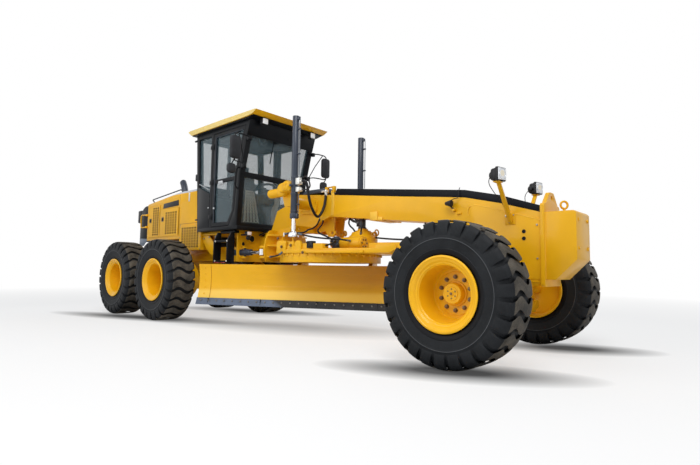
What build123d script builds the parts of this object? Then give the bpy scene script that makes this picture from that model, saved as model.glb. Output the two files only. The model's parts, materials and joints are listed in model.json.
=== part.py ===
"""Motor grader: a six-wheeled, articulated machine with a blade hung on a circle under its front frame.

Millimetres. X runs forward from the front axle, Y to the machine's left, Z up from the ground.
Every node is moved by `to_row` when it is written, so that the row's origin is the centre of the
whole machine's length, on the ground.
"""
import math
import os

from build123d import *

# ---------------------------------------------------------------- driving dimensions
# overall, from the front axle
nose_reach = 835.0
tail_reach = 7950.0
bogie_front_x = -5465.0
bogie_spacing = 1545.0
track_half = 1087.0
hitch_x = -3950.0

# wheels
tyre_radius = 675.0
tyre_width = 445.0
lug_depth = 26.0
lug_count = 26
lug_width = 86.0
lug_slant = 12.0
lug_foot_radius = 556.0
rim_seat_radius = 318.0
rim_wall = 12.0
rim_flange_radius = 350.0
rim_half_width = 212.0
rim_lip = 22.0
disc_thickness = 16.0
front_disc_offset = -20.0
rear_disc_offset = -120.0
hub_radius = 105.0
spindle_radius = 60.0
running_gap = 0.5

# front frame (gooseneck)
beam_half = 200.0
cover_rise = 88.0
head_plate_rise = 8.0
nose_ear_top_z = 1703.0
nose_ear_hole_z = 1648.0
nose_ear_hole = 24.0
bracket_half = 110.0
lock_bar_back = 250.0
lock_bar_thickness = 40.0
lock_bar_half = 590.0
lock_bar_z = 1452.0
lock_bar_depth = 96.0
lock_hole_radius = 22.0
lock_hole_pitch = 140.0
cheek_thickness = 24.0
column_front_x = -3450.0
column_foot_z = 1010.0
weight_seams = (1040.0, 1262.0)
weight_seam_depth = 8.0
eye_outer = 46.0
eye_inner = 24.0
lamp_y = 515.0
lamp_z = 1855.0
lamp_x = 195.0
head_front_x = 500.0
head_foot_z = 800.0
plate_thickness = 40.0
nose_half = 235.0
nose_top_z = 1577.0
nose_foot_z = 740.0
weight_foot_z = 810.0
weight_top_z = 1485.0
weight_chamfer = 200.0
weight_half = 220.0

# hitch
pin_radius = 50.0
boss_radius = 130.0
tongue_foot_z = 1060.0
tongue_top_z = 1400.0
lug_thickness = 60.0

# steering cylinders of the frame hinge
fold_post_x = -150.0
fold_post_y = 440.0
fold_eye_x = 250.0
fold_eye_y = 400.0
fold_z = 1135.0
fold_barrel_radius = 50.0
fold_rod_radius = 28.0
fold_barrel_front = 150.0
fold_barrel_back = 330.0
fold_rod_inside = 486.0
fold_pin_radius = 20.0
fold_drift = 12.0

# front axle and steering
axle_z = 675.0
axle_half = 95.0
axle_depth = 170.0
lean_pivot_z = 500.0
lean_pin_radius = 28.0
lean_arm_rise = 255.0
lean_bar_thickness = 26.0
kingpin_y = 780.0
kingpin_radius = 28.0
kingpin_foot_z = 575.0
kingpin_top_z = 850.0
fork_thickness = 32.0
tie_arm = 210.0
tie_arm_z = 630.0
tie_ball_radius = 24.0
tie_pin_radius = 12.0

# drawbar, circle and blade
head_rear_x = -200.0
ball_stand = 110.0
ball_z = 1000.0
ball_radius = 60.0
circle_x = -2610.0
circle_radius = 735.0
circle_inner = 600.0
circle_foot_z = 975.0
circle_depth = 120.0
circle_studs = 40
stud_radius = 17.0
circle_teeth = 60
tooth_depth = 20.0
drawbar_thickness = 50.0
leg_depth = 108.0
leg_width = 110.0
leg_foot_y = 735.0
leg_nose_y = 150.0
drive_radius = 205.0
worm_radius = 82.0
worm_y = -250.0
worm_z = 1232.0
worm_half = 222.0
plate_gap = 0.5
blade_length = 3965.0
blade_height = 620.0
blade_thickness = 24.0
blade_foot_z = 320.0
blade_sagitta = 45.0
blade_yaw = 24.93
blade_lead = 190.0
blade_shift = 137.0
blade_lean = 4.3
edge_height = 105.0
edge_thickness = 20.0
carrier_x = 560.0
carrier_pin_y = 90.0
carrier_pin_z = 560.0
carrier_pin_radius = 25.0
rail_near = -125.0
rail_back = -10.0
rail_height = 60.0
rail_feet = (560.0, 800.0)
shift_rod_y = -55.0
shift_rod_z = 700.0
shift_rod_radius = 18.0
shift_barrel_radius = 36.0
shift_lug_x = 900.0
shift_forward = 370.0
shift_rearward = 300.0
shift_rod_length = 960.0

# lift cylinders
lift_x = -2650.0
lift_y = 700.0
yoke_z = 2020.0
lift_top_z = 3000.0
lift_barrel_foot_z = 1570.0
lift_eye_z = 1330.0
lift_barrel_radius = 48.0
lift_rod_radius = 30.0
lift_trunnion_radius = 18.0
lift_rod_top_z = 2200.0
lift_ball_radius = 30.0
lift_drift = 30.0

# rear frame
rail_foot_z = 1000.0
rail_top_z = 1240.0
rail_outer = 400.0
rail_wall = 120.0
case_inner_y = 600.0
case_outer_y = 830.0
case_half_height = 290.0
axle_housing_half = 200.0
bulkhead_x = -4140.0
bulkhead_thickness = 25.0
bulkhead_half = 560.0
bulkhead_top_z = 1480.0

# engine and hood
hood_half = 560.0
hood_front_x = -5330.0
hood_step_x = -6040.0
hood_rear_x = -7280.0
hood_front_z = 2275.0
hood_rear_z = 2150.0
hood_foot_z = 1450.0
hood_wall = 30.0
hood_door_foot_z = 1478.0
hood_door_top_z = 2016.0
hood_doors = (("rear", -7190.0, -6750.0), ("front", -6732.0, -6020.0))
grille_hole = 26.0
grille_pitch = 46.0
side_box_rear_x = -5860.0
side_box_front_x = -5160.0
door_gap = 6.0
door_thickness = 20.0
door_rebate = 25.0
seat_gap = 0.3
guard_rear_x = -7620.0
guard_foot_z = 1400.0
guard_top_z = 2130.0
guard_half = 550.0
guard_bend = 260.0
guard_slats = 9
guard_slat_depth = 40.0
exhaust_foot = (-6620.0, -100.0, 2200.0)
exhaust_top = (-6765.0, -100.0, 2650.0)
engine_front_x = -5700.0
engine_rear_x = -6900.0
engine_half = 330.0
engine_top_z = 2000.0

# cab
cab_half = 700.0
cab_foot_z = 1490.0
cab_waist_z = 2360.0
cab_top_z = 3190.0
cab_front_foot_x = -3990.0
cab_front_waist_x = -3930.0
cab_front_top_x = -3720.0
cab_rear_foot_x = -5130.0
cab_rear_top_x = -5250.0
cab_post_x = -4720.0
pillar = 70.0
roof_thickness = 100.0
roof_front_x = -3490.0
roof_rear_x = -5430.0
roof_half = 765.0
glass_thickness = 6.0
cab_door_thickness = 50.0
door_rail_z = 2305.0
roof_corner = 150.0
roof_lamp_y = 430.0
mirror_y = 970.0
mirror_x = -3705.0

# ---------------------------------------------------------------- derived places
bogie_rear_x = bogie_front_x - bogie_spacing
bogie_mid_x = (bogie_front_x + bogie_rear_x) / 2
ball_x = head_rear_x - ball_stand
row_shift = (tail_reach - nose_reach) / 2
circle_top_z = circle_foot_z + circle_depth
drive_x = circle_x + 610
bar_foot_z = circle_top_z + plate_gap
bar_top_z = bar_foot_z + drawbar_thickness
SIDES = (("L", 1), ("R", -1))


# ---------------------------------------------------------------- helpers
def block(x, y, z):
    """A box between two X, two Y and two Z values."""
    size = [abs(b - a) for a, b in (x, y, z)]
    centre = [(a + b) / 2 for a, b in (x, y, z)]
    return Pos(*centre) * Box(*size)


def side_plate(points, y):
    """An outline of (x, z) points, given thickness between two Y values."""
    face = Face(Wire.make_polygon([(px, y[0], pz) for px, pz in points]))
    return extrude(face, amount=y[1] - y[0], dir=(0, 1, 0))


def flat_plate(points, z):
    """An outline of (x, y) points, given thickness between two Z values."""
    face = Face(Wire.make_polygon([(px, py, z[0]) for px, py in points]))
    return extrude(face, amount=z[1] - z[0], dir=(0, 0, 1))


def cross_plate(points, x):
    """An outline of (y, z) points, given thickness between two X values."""
    face = Face(Wire.make_polygon([(x[0], py, pz) for py, pz in points]))
    return extrude(face, amount=x[1] - x[0], dir=(1, 0, 0))


def bar(start, end, radius):
    """A round bar from one point to another."""
    run = Vector(*end) - Vector(*start)
    return Plane(origin=start, z_dir=run.normalized()) * Cylinder(
        radius, run.length, align=(Align.CENTER, Align.CENTER, Align.MIN))


def ring(start, end, outer, inner):
    """A round tube from one point to another."""
    return bar(start, end, outer) - bar(start, end, inner)


def turned(profile):
    """A solid of revolution about the Y axis, from (y, radius) points."""
    face = Face(Wire.make_polygon([(0, py, pr) for py, pr in profile]))
    return revolve(face, Axis.Y)


def rounded(shape, axis, radius, spots=None, reach=2.0):
    """A shape with its edges along an axis rounded: all of them, or those through some points.

    The points are given in the plane across the axis, such as (x, z) for edges along Y."""
    edges = shape.edges().filter_by(axis)
    if spots is not None:
        across = {Axis.X: ("Y", "Z"), Axis.Y: ("X", "Z"), Axis.Z: ("X", "Y")}[axis]
        edges = [edge for edge in edges if any(
            math.hypot(getattr(edge.center(), across[0]) - spot[0],
                       getattr(edge.center(), across[1]) - spot[1]) < reach for spot in spots)]
    return fillet(edges, radius)


def round_the_axis(shape, centre, count):
    """Copies of a shape round an upright axis through a centre, evenly spaced."""
    place = Pos(*centre)
    return [place * (Rot(0, 0, 360 / count * step) * shape) for step in range(count)]


def other_side(shape):
    """The mirror image on the other side of the machine's centre plane."""
    return mirror(shape, Plane.XZ)


def both_sides(shape):
    """A shape and its mirror image."""
    return [shape, other_side(shape)]


def fused(shapes):
    """One solid from several that touch."""
    shapes = list(shapes)
    return shapes[0].fuse(*shapes[1:]).clean()


NODES = {}


def keep(name, *shapes):
    """Stores a node's solids under its name."""
    NODES[name] = [solid for shape in shapes for solid in shape.solids()]


# ---------------------------------------------------------------- wheels
def tyre_body():
    """A tyre about the Y axis, centred on the origin: a carcass with slanted lugs."""
    half = tyre_width / 2
    bead = rim_half_width - rim_lip - 1
    floor = tyre_radius - lug_depth
    side = [(half - 8, 450), (half - 2, 545), (half - 55, floor)]
    profile = [(bead, rim_seat_radius), (bead, rim_flange_radius + 4), *side]
    carcass = turned([*profile, *[(-y, r) for y, r in reversed(profile)]])
    angle = math.radians(lug_slant)
    shoulder = half - 38
    swing = lug_width / 2 * math.cos(angle) + shoulder * math.tan(angle)
    top = math.sqrt(tyre_radius ** 2 - swing ** 2)
    edge = [(shoulder - 40, lug_foot_radius), (half - 6, lug_foot_radius), (shoulder, top)]
    lug = cross_plate([*edge, *[(-y, z) for y, z in reversed(edge)]],
                      (-lug_width / 2, lug_width / 2))
    lug = Rot(0, math.degrees(math.asin(swing / tyre_radius)), 0) * (Rot(0, 0, lug_slant) * lug)
    lugs = [Rot(0, 360 / lug_count * step, 0) * lug for step in range(lug_count)]
    return carcass.fuse(*lugs)


def rim_body(disc_offset):
    """A rim about the Y axis, with its disc; the dish opens towards +Y."""
    seat = rim_seat_radius
    bore = seat - rim_wall
    edge = rim_half_width
    flange = rim_flange_radius
    foot = disc_offset - disc_thickness / 2
    face = disc_offset + disc_thickness / 2
    hub_bore = spindle_radius + running_gap
    profile = [
        (-edge, bore + 8), (-edge, flange), (-edge + rim_lip, flange),
        (-edge + rim_lip, seat), (edge - rim_lip, seat), (edge - rim_lip, flange),
        (edge - 6, flange), (edge, flange - 8), (edge, bore + 14), (edge - 26, bore + 4),
        (edge - 60, bore), (face + 34, bore), (face, bore - 34), (face, hub_radius + 62),
        (face + 12, hub_radius + 50), (face + 12, hub_radius), (face + 35, hub_radius - 8),
        (face + 35, 0), (face - 12, 0), (face - 12, hub_bore), (foot - 60, hub_bore),
        (foot - 60, hub_radius + 10), (foot, hub_radius + 10), (foot, bore - 40), (foot - 30, bore)]
    return turned(profile)


def wheels():
    """Six tyres on six rims, one body a wheel."""
    places = (("front", 0.0, front_disc_offset), ("mid", bogie_front_x, rear_disc_offset),
              ("rear", bogie_rear_x, rear_disc_offset))
    for row, x, disc_offset in places:
        tyre = tyre_body()
        rim = rim_body(disc_offset)
        for side, sign in SIDES:
            place = Pos(x, sign * track_half, tyre_radius)
            keep(f"tyre_{row}_{side}", place * tyre)
            turned_rim = rim if sign > 0 else other_side(rim)
            keep(f"rim_{row}_{side}", place * turned_rim)


# ---------------------------------------------------------------- front frame
def beam_top():
    """The gooseneck's top line as (x, z) points, from the head to the cover's rear end."""
    return [(head_front_x, 1486), (70, 1613), (-340, 1710), (-660, 1746), (-1230, 1805),
            (-2360, 1931)]


def main_frame():
    """The gooseneck: box beam, deep head, lock bar bracket and hinge lugs."""
    outline = [
        (head_front_x, head_foot_z - 20), *beam_top(), (-3090, 2001), (-3370, 1865),
        (-3610, 1789), (-3740, 1493), (-3740, 1440), (-2950, 1440), (-2450, 1631),
        (-2250, 1612), (-1230, 1502), (-800, 1459), (-330, 1260), (head_rear_x, 1150),
        (head_rear_x, head_foot_z), (200, head_foot_z)]
    beam = side_plate(outline, (-beam_half, beam_half))
    back_x = hitch_x + 190
    column = side_plate([(back_x, 980), (back_x, 1480), (column_front_x, 1480),
                         (column_front_x, column_foot_z + 60), (column_front_x - 60, column_foot_z),
                         (back_x + 60, 980)], (-beam_half, beam_half))
    pieces = [beam, head_plate(), column, *head_cheeks(), *hinge_lugs(back_x),
              *both_sides(fold_ears()), *lock_bar_bracket()]
    keep("main_frame", fused(pieces) + ball_post())


def head_plate():
    """The upright plate at the nose, with the lifting ear that rises from its top."""
    x = (head_front_x, head_front_x + plate_thickness)
    plate = block(x, (-nose_half, nose_half), (nose_foot_z, nose_top_z))
    plate = rounded(plate, Axis.X, 30)
    ear = cross_plate([(-beam_half, nose_top_z - 20), (-60, nose_ear_top_z), (60, nose_ear_top_z),
                       (beam_half, nose_top_z - 20)], x)
    ear = rounded(ear, Axis.X, 45, [(-60, nose_ear_top_z), (60, nose_ear_top_z)])
    ear = ear - bar((x[0] - 1, 0, nose_ear_hole_z), (x[1] + 1, 0, nose_ear_hole_z), nose_ear_hole)
    return plate + ear


def head_cheeks():
    """The raised plates on both sides of the head."""
    outline = [
        (head_front_x - 1, head_foot_z + 10), (head_front_x - 1, 1408), (-215, 1618),
        (-285, 1600), (-265, 1330), (head_rear_x + 20, 1150), (head_rear_x + 20, head_foot_z + 30),
        (190, head_foot_z + 30)]
    plate = side_plate(outline, (beam_half - 5, beam_half + head_plate_rise))
    plate = rounded(plate, Axis.Y, 55, [(-215, 1618), (-285, 1600)])
    return both_sides(plate)


def hinge_lugs(back_x):
    """The two lugs of the hitch, with its pin."""
    low = tongue_foot_z - running_gap - lug_thickness
    high = tongue_top_z + running_gap
    lugs = []
    for foot in (low, high):
        plate = block((hitch_x, back_x + 60), (-boss_radius, boss_radius),
                      (foot, foot + lug_thickness))
        lugs.append(plate + bar((hitch_x, 0, foot), (hitch_x, 0, foot + lug_thickness),
                                boss_radius))
    pin = bar((hitch_x, 0, low), (hitch_x, 0, high + lug_thickness), pin_radius)
    cap = bar((hitch_x, 0, high + lug_thickness - 1), (hitch_x, 0, high + lug_thickness + 14),
              pin_radius + 25)
    return [*lugs, pin, cap]


def fold_ears():
    """The left ears for a fold cylinder's eye, with the flared plate and ribs ahead of them."""
    eye_x = hitch_x + fold_eye_x
    reach = fold_eye_y + 45
    plate_x = eye_x + 85
    ears = []
    for low in (fold_z - 95, fold_z + 65):
        ear = block((eye_x, plate_x + 1), (beam_half - 1, reach), (low, low + 30))
        ears.append(ear + bar((eye_x, fold_eye_y, low), (eye_x, fold_eye_y, low + 30), 45))
    pin = bar((eye_x, fold_eye_y, fold_z - 95), (eye_x, fold_eye_y, fold_z + 95), fold_pin_radius)
    flare = cross_plate([
        (beam_half - 1, column_foot_z), (reach - 25, column_foot_z), (reach + 12, fold_z + 20),
        (reach - 20, fold_z + 200), (reach - 90, 1478), (beam_half - 1, 1478)],
        (plate_x, plate_x + cheek_thickness))
    flare = rounded(flare, Axis.X, 60, [(reach + 12, fold_z + 20), (reach - 90, 1478)])
    ribs = []
    for low in (fold_z - 80, fold_z + 90, fold_z + 250):
        ribs.append(flat_plate([(plate_x + 1, beam_half - 1), (plate_x + 1, reach - 45),
                                (plate_x + 60, reach - 45), (column_front_x, beam_half - 1)],
                               (low, low + cheek_thickness)))
    return fused([*ears, pin, flare, *ribs])


def lock_bar_bracket():
    """The bracket under the beam and the perforated lock bar that it holds across the frame."""
    cheeks = []
    for y in (-bracket_half, bracket_half - cheek_thickness):
        plate = side_plate([(-2860, 1500), (-2640, 1580), (-2430, 1640), (-2455, 1450),
                            (-2415, 1400), (-2470, 1345), (-2560, 1352), (-2622, 1440),
                            (-2860, 1404)], (y, y + cheek_thickness))
        plate = plate - bar((-2485, y - 1, 1402), (-2485, y + cheek_thickness + 1, 1402), 26)
        cheeks.append(plate)
    x = circle_x - lock_bar_back
    low = lock_bar_z - lock_bar_depth / 2
    strap = block((x, x + lock_bar_thickness), (-lock_bar_half, lock_bar_half),
                  (low, low + lock_bar_depth))
    strap = rounded(strap, Axis.X, lock_bar_depth / 2 - 2)
    for step in (-3, -2, 2, 3):
        y = step * lock_hole_pitch * 1.05
        strap = strap - bar((x - 1, y, lock_bar_z), (x + lock_bar_thickness + 1, y, lock_bar_z),
                            lock_hole_radius)
    return [*cheeks, strap]


def ball_post():
    """The ball on the head that the drawbar's nose turns on."""
    neck = bar((ball_x, 0, ball_z), (head_rear_x + 1, 0, ball_z), ball_radius / 2)
    return neck + Pos(ball_x, 0, ball_z) * Sphere(ball_radius)


def hose_cover():
    """The dark cover that runs along the beam's top."""
    foot = beam_top()
    top = [(x, z + cover_rise) for x, z in reversed(foot)]
    top[0] = (top[0][0] + 40, top[0][1])
    top[-1] = (top[-1][0], top[-1][1] - 20)
    keep("hose_cover", side_plate(foot + top, (-beam_half, beam_half)))


def counterweight():
    """The nose weight of stacked slabs, bolted to the head plate, with its lifting eye."""
    back = head_front_x + plate_thickness
    outline = [
        (back, weight_foot_z), (back, weight_top_z), (nose_reach, weight_top_z),
        (nose_reach, weight_foot_z + weight_chamfer), (nose_reach - weight_chamfer, weight_foot_z)]
    weight = side_plate(outline, (-weight_half, weight_half))
    weight = rounded(weight, Axis.Y, 24, [(nose_reach, weight_top_z)])
    for z in weight_seams:
        for sign in (1, -1):
            groove = block((back - 1, nose_reach + 1),
                           (sign * (weight_half - weight_seam_depth), sign * (weight_half + 1)),
                           (z, z + weight_seam_depth))
            weight = weight - groove
    x = (back + nose_reach) / 2
    eye_z = weight_top_z + 92
    stem = bar((x, 0, weight_top_z - 1), (x, 0, eye_z - eye_inner - 8), 15)
    eye = ring((x - 11, 0, eye_z), (x + 11, 0, eye_z), eye_outer, eye_inner)
    keep("counterweight", fused([weight, stem, eye]))


def head_lamps():
    """Two lamps on flat stalks at the head's sides."""
    foot_y = beam_half + head_plate_rise
    stalk = cross_plate([(foot_y, 1380), (foot_y, 1500), (lamp_y - 40, lamp_z - 70),
                         (lamp_y + 20, lamp_z - 70), (lamp_y + 20, lamp_z - 95)],
                        (lamp_x - 12, lamp_x + 4))
    foot = block((140, 232), (foot_y, foot_y + 12), (1380, 1500))
    housing = side_plate([(lamp_x - 62, lamp_z - 50), (lamp_x - 62, lamp_z + 45),
                          (lamp_x + 10, lamp_z + 82), (lamp_x + 42, lamp_z + 82),
                          (lamp_x + 42, lamp_z - 82), (lamp_x + 10, lamp_z - 82)],
                         (lamp_y - 82, lamp_y + 82))
    housing = rounded(housing, Axis.X, 22, [(lamp_y + side * 82, lamp_z + level * 82)
                                            for side in (1, -1) for level in (1, -1)])
    face_x = lamp_x + 42
    recess = block((face_x - 10, face_x + 1), (lamp_y - 66, lamp_y + 66), (lamp_z - 66, lamp_z + 66))
    keep("head_lamps", *both_sides(fused([stalk, foot, housing - recess])))


def lift_saddle():
    """The arms at the beam's sides, with the yokes that carry the lift cylinders."""
    arm_x = lift_x - 220
    arm_z = 1825.0
    arm_radius = 78.0
    inner = lift_y - 190
    outer = lift_y - 110
    pad = side_plate([(arm_x - 190, 1700), (arm_x - 150, 1890), (arm_x + 60, 1925),
                      (arm_x + 190, 1880), (arm_x + 150, 1690)],
                     (beam_half, beam_half + cheek_thickness))
    pad = rounded(pad, Axis.Y, 40)
    arm = bar((arm_x, beam_half + 1, arm_z), (arm_x, outer, arm_z), arm_radius)
    lobe = side_plate([(arm_x - 85, arm_z - 60), (arm_x - 185, yoke_z + 55),
                       (arm_x - 130, yoke_z + 112), (arm_x - 10, yoke_z + 88),
                       (arm_x + 112, yoke_z + 46), (arm_x + 112, yoke_z - 60),
                       (arm_x + 85, arm_z - 60)], (inner, outer + 20))
    lobe = rounded(lobe, Axis.Y, 30, [(arm_x - 185, yoke_z + 55), (arm_x - 130, yoke_z + 112),
                                      (arm_x - 85, arm_z - 60), (arm_x + 85, arm_z - 60)])
    seat = block((arm_x + 20, lift_x - 110), (outer, lift_y + 85), (yoke_z - 45, yoke_z + 45))
    lock_y = (inner + outer) / 2
    lock = bar((arm_x - 610, lock_y, yoke_z + 44), (arm_x - 140, lock_y, yoke_z + 44), 46)
    keep("lift_saddle", *both_sides(fused([pad, arm, lobe, seat, lock, yoke()])))


def yoke():
    """The left yoke: a block bored for a lift cylinder and its trunnions."""
    hole = lift_barrel_radius + 14
    body = block((lift_x - 111, lift_x + 110), (lift_y - 85, lift_y + 85),
                 (yoke_z - 45, yoke_z + 45))
    body = rounded(body, Axis.Z, 40, [(lift_x + 110, lift_y - 85), (lift_x + 110, lift_y + 85)])
    body = body - bar((lift_x, lift_y, yoke_z - 50), (lift_x, lift_y, yoke_z + 50), hole)
    return body - bar((lift_x, lift_y - 90, yoke_z), (lift_x, lift_y + 90, yoke_z),
                      lift_trunnion_radius + running_gap)


# ---------------------------------------------------------------- front axle
def front_axle():
    """The axle beam, fixed under the head; its ends carry the lean brackets."""
    low = lean_pivot_z - axle_depth / 2
    end_y = kingpin_y - 60
    half_outline = [
        (end_y, low), (end_y, lean_pivot_z + 5), (end_y - 100, lean_pivot_z + 60),
        (beam_half + 60, head_foot_z)]
    outline = half_outline + [(-y, z) for y, z in reversed(half_outline)]
    beam = cross_plate(outline, (-axle_half, axle_half))
    ends = []
    for sign in (1, -1):
        y = sign * kingpin_y
        for x in (-axle_half, axle_half - 40):
            ear = fused([
                block((x, x + 40), (sign * (end_y - 10), y), (lean_pivot_z - 55, lean_pivot_z + 55)),
                bar((x, y, lean_pivot_z), (x + 40, y, lean_pivot_z), 55)])
            ends.append(ear)
        ends.append(bar((-axle_half, y, lean_pivot_z), (axle_half, y, lean_pivot_z),
                        lean_pin_radius))
    keep("front_axle", fused([beam, *ends]))


def lean_brackets():
    """Brackets that lean with the wheels: lower eye, kingpin fork and top lug."""
    inner = axle_half - 40 - running_gap
    y = kingpin_y
    top_z = lean_pivot_z + lean_arm_rise
    eye = bar((-inner, y, lean_pivot_z), (inner, y, lean_pivot_z), 50)
    eye = eye - bar((-inner - 5, y, lean_pivot_z), (inner + 5, y, lean_pivot_z),
                    lean_pin_radius + running_gap)
    saddle = block((-inner, inner), (y - 40, y + 40), (lean_pivot_z + 38, kingpin_foot_z))
    web = block((-30, 30), (y - 80, y - 55), (kingpin_foot_z, kingpin_top_z))
    forks = []
    for low in (kingpin_foot_z, kingpin_top_z - fork_thickness):
        forks.append(fused([
            block((-inner, inner), (y - 80, y), (low, low + fork_thickness)),
            bar((0, y, low), (0, y, low + fork_thickness), inner)]))
    pin = bar((0, y, kingpin_foot_z), (0, y, kingpin_top_z), kingpin_radius)
    lug_front = axle_half + 6
    lug = side_plate([
        (inner - 5, kingpin_top_z - fork_thickness), (inner - 5, kingpin_top_z),
        (lug_front, kingpin_top_z), (lug_front, top_z - 22), (lug_front - 36, top_z - 22),
        (lug_front - 36, kingpin_top_z - fork_thickness)], (y - 30, y + 30))
    bar_pin = bar((lug_front, y, top_z), (lug_front + lean_bar_thickness + 10, y, top_z), 16)
    bracket = fused([eye, saddle, web, *forks, pin, lug, bar_pin])
    for side, sign in SIDES:
        keep(f"lean_bracket_{side}", bracket if sign > 0 else other_side(bracket))


def lean_bar():
    """The bar that joins the tops of the two lean brackets, ahead of the axle."""
    top_z = lean_pivot_z + lean_arm_rise
    back = axle_half + 6 + running_gap
    front = back + lean_bar_thickness
    reach = kingpin_y
    strap = block((back, front), (-reach, reach), (top_z - 30, top_z + 30))
    for y in (-reach, reach):
        strap = strap + bar((back, y, top_z), (front, y, top_z), 30)
        strap = strap - bar((back - 5, y, top_z), (front + 5, y, top_z), 16 + running_gap)
    keep("lean_bar", strap)


def knuckles():
    """Steering knuckles on the kingpins, each with a wheel spindle and a tie rod arm."""
    spindle_end = track_half + front_disc_offset - disc_thickness / 2 - 12 - 2
    foot = kingpin_foot_z + fork_thickness + running_gap
    top = kingpin_top_z - fork_thickness - running_gap
    post = bar((0, kingpin_y, foot), (0, kingpin_y, top), 46)
    spindle = bar((0, kingpin_y, axle_z), (0, spindle_end, axle_z), spindle_radius)
    arm = flat_plate([
        (0, kingpin_y - 2), (-120, kingpin_y - 5), (-tie_arm - 30, kingpin_y - 20),
        (-tie_arm - 30, kingpin_y + 20), (-60, kingpin_y + 46), (0, kingpin_y + 46)],
        (tie_arm_z - 15, tie_arm_z + 15))
    body = fused([post, spindle, arm])
    body = body - bar((0, kingpin_y, foot - 5), (0, kingpin_y, top + 5),
                      kingpin_radius + running_gap)
    pin = bar((-tie_arm, kingpin_y, lean_pivot_z - tie_ball_radius - 6),
              (-tie_arm, kingpin_y, tie_arm_z), tie_pin_radius)
    body = body + pin
    ball = Pos(-tie_arm, kingpin_y, lean_pivot_z) * Sphere(tie_ball_radius)
    keep("knuckle_L", body)
    keep("knuckle_R", other_side(body + ball))
    loose_ball = ball - bar((-tie_arm, kingpin_y, lean_pivot_z - 60),
                            (-tie_arm, kingpin_y, lean_pivot_z + 60), tie_pin_radius + running_gap)
    keep("tie_rod_ball", loose_ball)


def tie_rod():
    """The rod behind the axle that joins the two steering arms."""
    z = lean_pivot_z
    rod = bar((-tie_arm, -kingpin_y + 35, z), (-tie_arm, kingpin_y - 35, z), 18)
    for sign in (1, -1):
        y = sign * kingpin_y
        rod = rod + bar((-tie_arm, y, z - 15), (-tie_arm, y, z + 15), 44)
    for sign in (1, -1):
        rod = rod - Pos(-tie_arm, sign * kingpin_y, z) * Sphere(tie_ball_radius + running_gap)
    keep("tie_rod", rod)


# ---------------------------------------------------------------- drawbar, circle and blade
def drawbar():
    """The A-shaped drawbar: ball nose, two box legs and the plate above the circle."""
    nose_x = ball_x - 230
    plate_z = bar_foot_z + drawbar_thickness / 2
    plate = Pos(circle_x, 0, plate_z) * Cylinder(circle_radius + 20, drawbar_thickness)
    plate = plate - Pos(circle_x, 0, plate_z) * Cylinder(circle_inner - 40, drawbar_thickness + 2)
    cross = block((circle_x - 120, circle_x + 120), (-circle_radius, circle_radius),
                  (bar_foot_z, bar_top_z + 46))
    deck = flat_plate([(circle_x + 250, -leg_foot_y), (drive_x + 420, -500), (drive_x + 420, 500),
                       (circle_x + 250, leg_foot_y)], (bar_foot_z, bar_foot_z + 30))
    neck = block((nose_x - 120, nose_x + 60), (-78, 78), (ball_z - 50, bar_foot_z + leg_depth))
    neck = rounded(neck, Axis.Z, 35, [(nose_x + 60, -78), (nose_x + 60, 78)])
    tongue = bar((nose_x + 50, 0, ball_z), (ball_x - ball_radius - 2, 0, ball_z), 45)
    cup = Pos(ball_x, 0, ball_z) * Sphere(ball_radius + 22)
    cup = cup - Pos(ball_x, 0, ball_z) * Sphere(ball_radius + running_gap)
    cup = cup - block((ball_x + 10, ball_x + 200), (-200, 200), (ball_z - 200, ball_z + 200))
    post = bar((circle_x, 0, circle_foot_z), (circle_x, 0, bar_foot_z + 2), circle_inner - 30)
    post = post - bar((circle_x, 0, circle_foot_z - 1), (circle_x, 0, bar_foot_z + 1),
                      circle_inner - 60)
    legs = both_sides(drawbar_leg(nose_x))
    body = fused([plate, cross, deck, *legs, neck, tongue, cup, *both_sides(lift_ear())])
    keep("drawbar", body + post)


def drawbar_leg(nose_x):
    """The left leg: a box beam from the circle's side to the nose, with a rounded cheek."""
    rear_x = circle_x + 60
    slope = (leg_foot_y - leg_nose_y) / (nose_x - rear_x)
    leg = flat_plate([
        (nose_x - 40, leg_nose_y - leg_width), (nose_x - 40, leg_nose_y), (rear_x, leg_foot_y),
        (rear_x, leg_foot_y - leg_width)], (bar_foot_z, bar_foot_z + leg_depth + 20))
    leg = leg - block((nose_x - 500, nose_x), (0, leg_nose_y + 300),
                      (bar_foot_z + leg_depth, bar_foot_z + leg_depth + 21))
    front = drive_x + 850
    back = drive_x + 20
    cheek_y = leg_foot_y - slope * (back - rear_x)
    run = math.hypot(front - back, slope * (front - back))
    cheek = side_plate([(0, bar_foot_z), (0, bar_foot_z + 88), (run - 60, bar_foot_z + 98),
                        (run, bar_foot_z + 60), (run - 120, bar_foot_z)], (-4, 20))
    cheek = rounded(cheek, Axis.Y, 30, [(run - 60, bar_foot_z + 98), (run, bar_foot_z + 60)])
    place = Pos(back, cheek_y, 0) * Rot(0, 0, -math.degrees(math.atan(slope)))
    return leg + place * cheek


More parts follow.
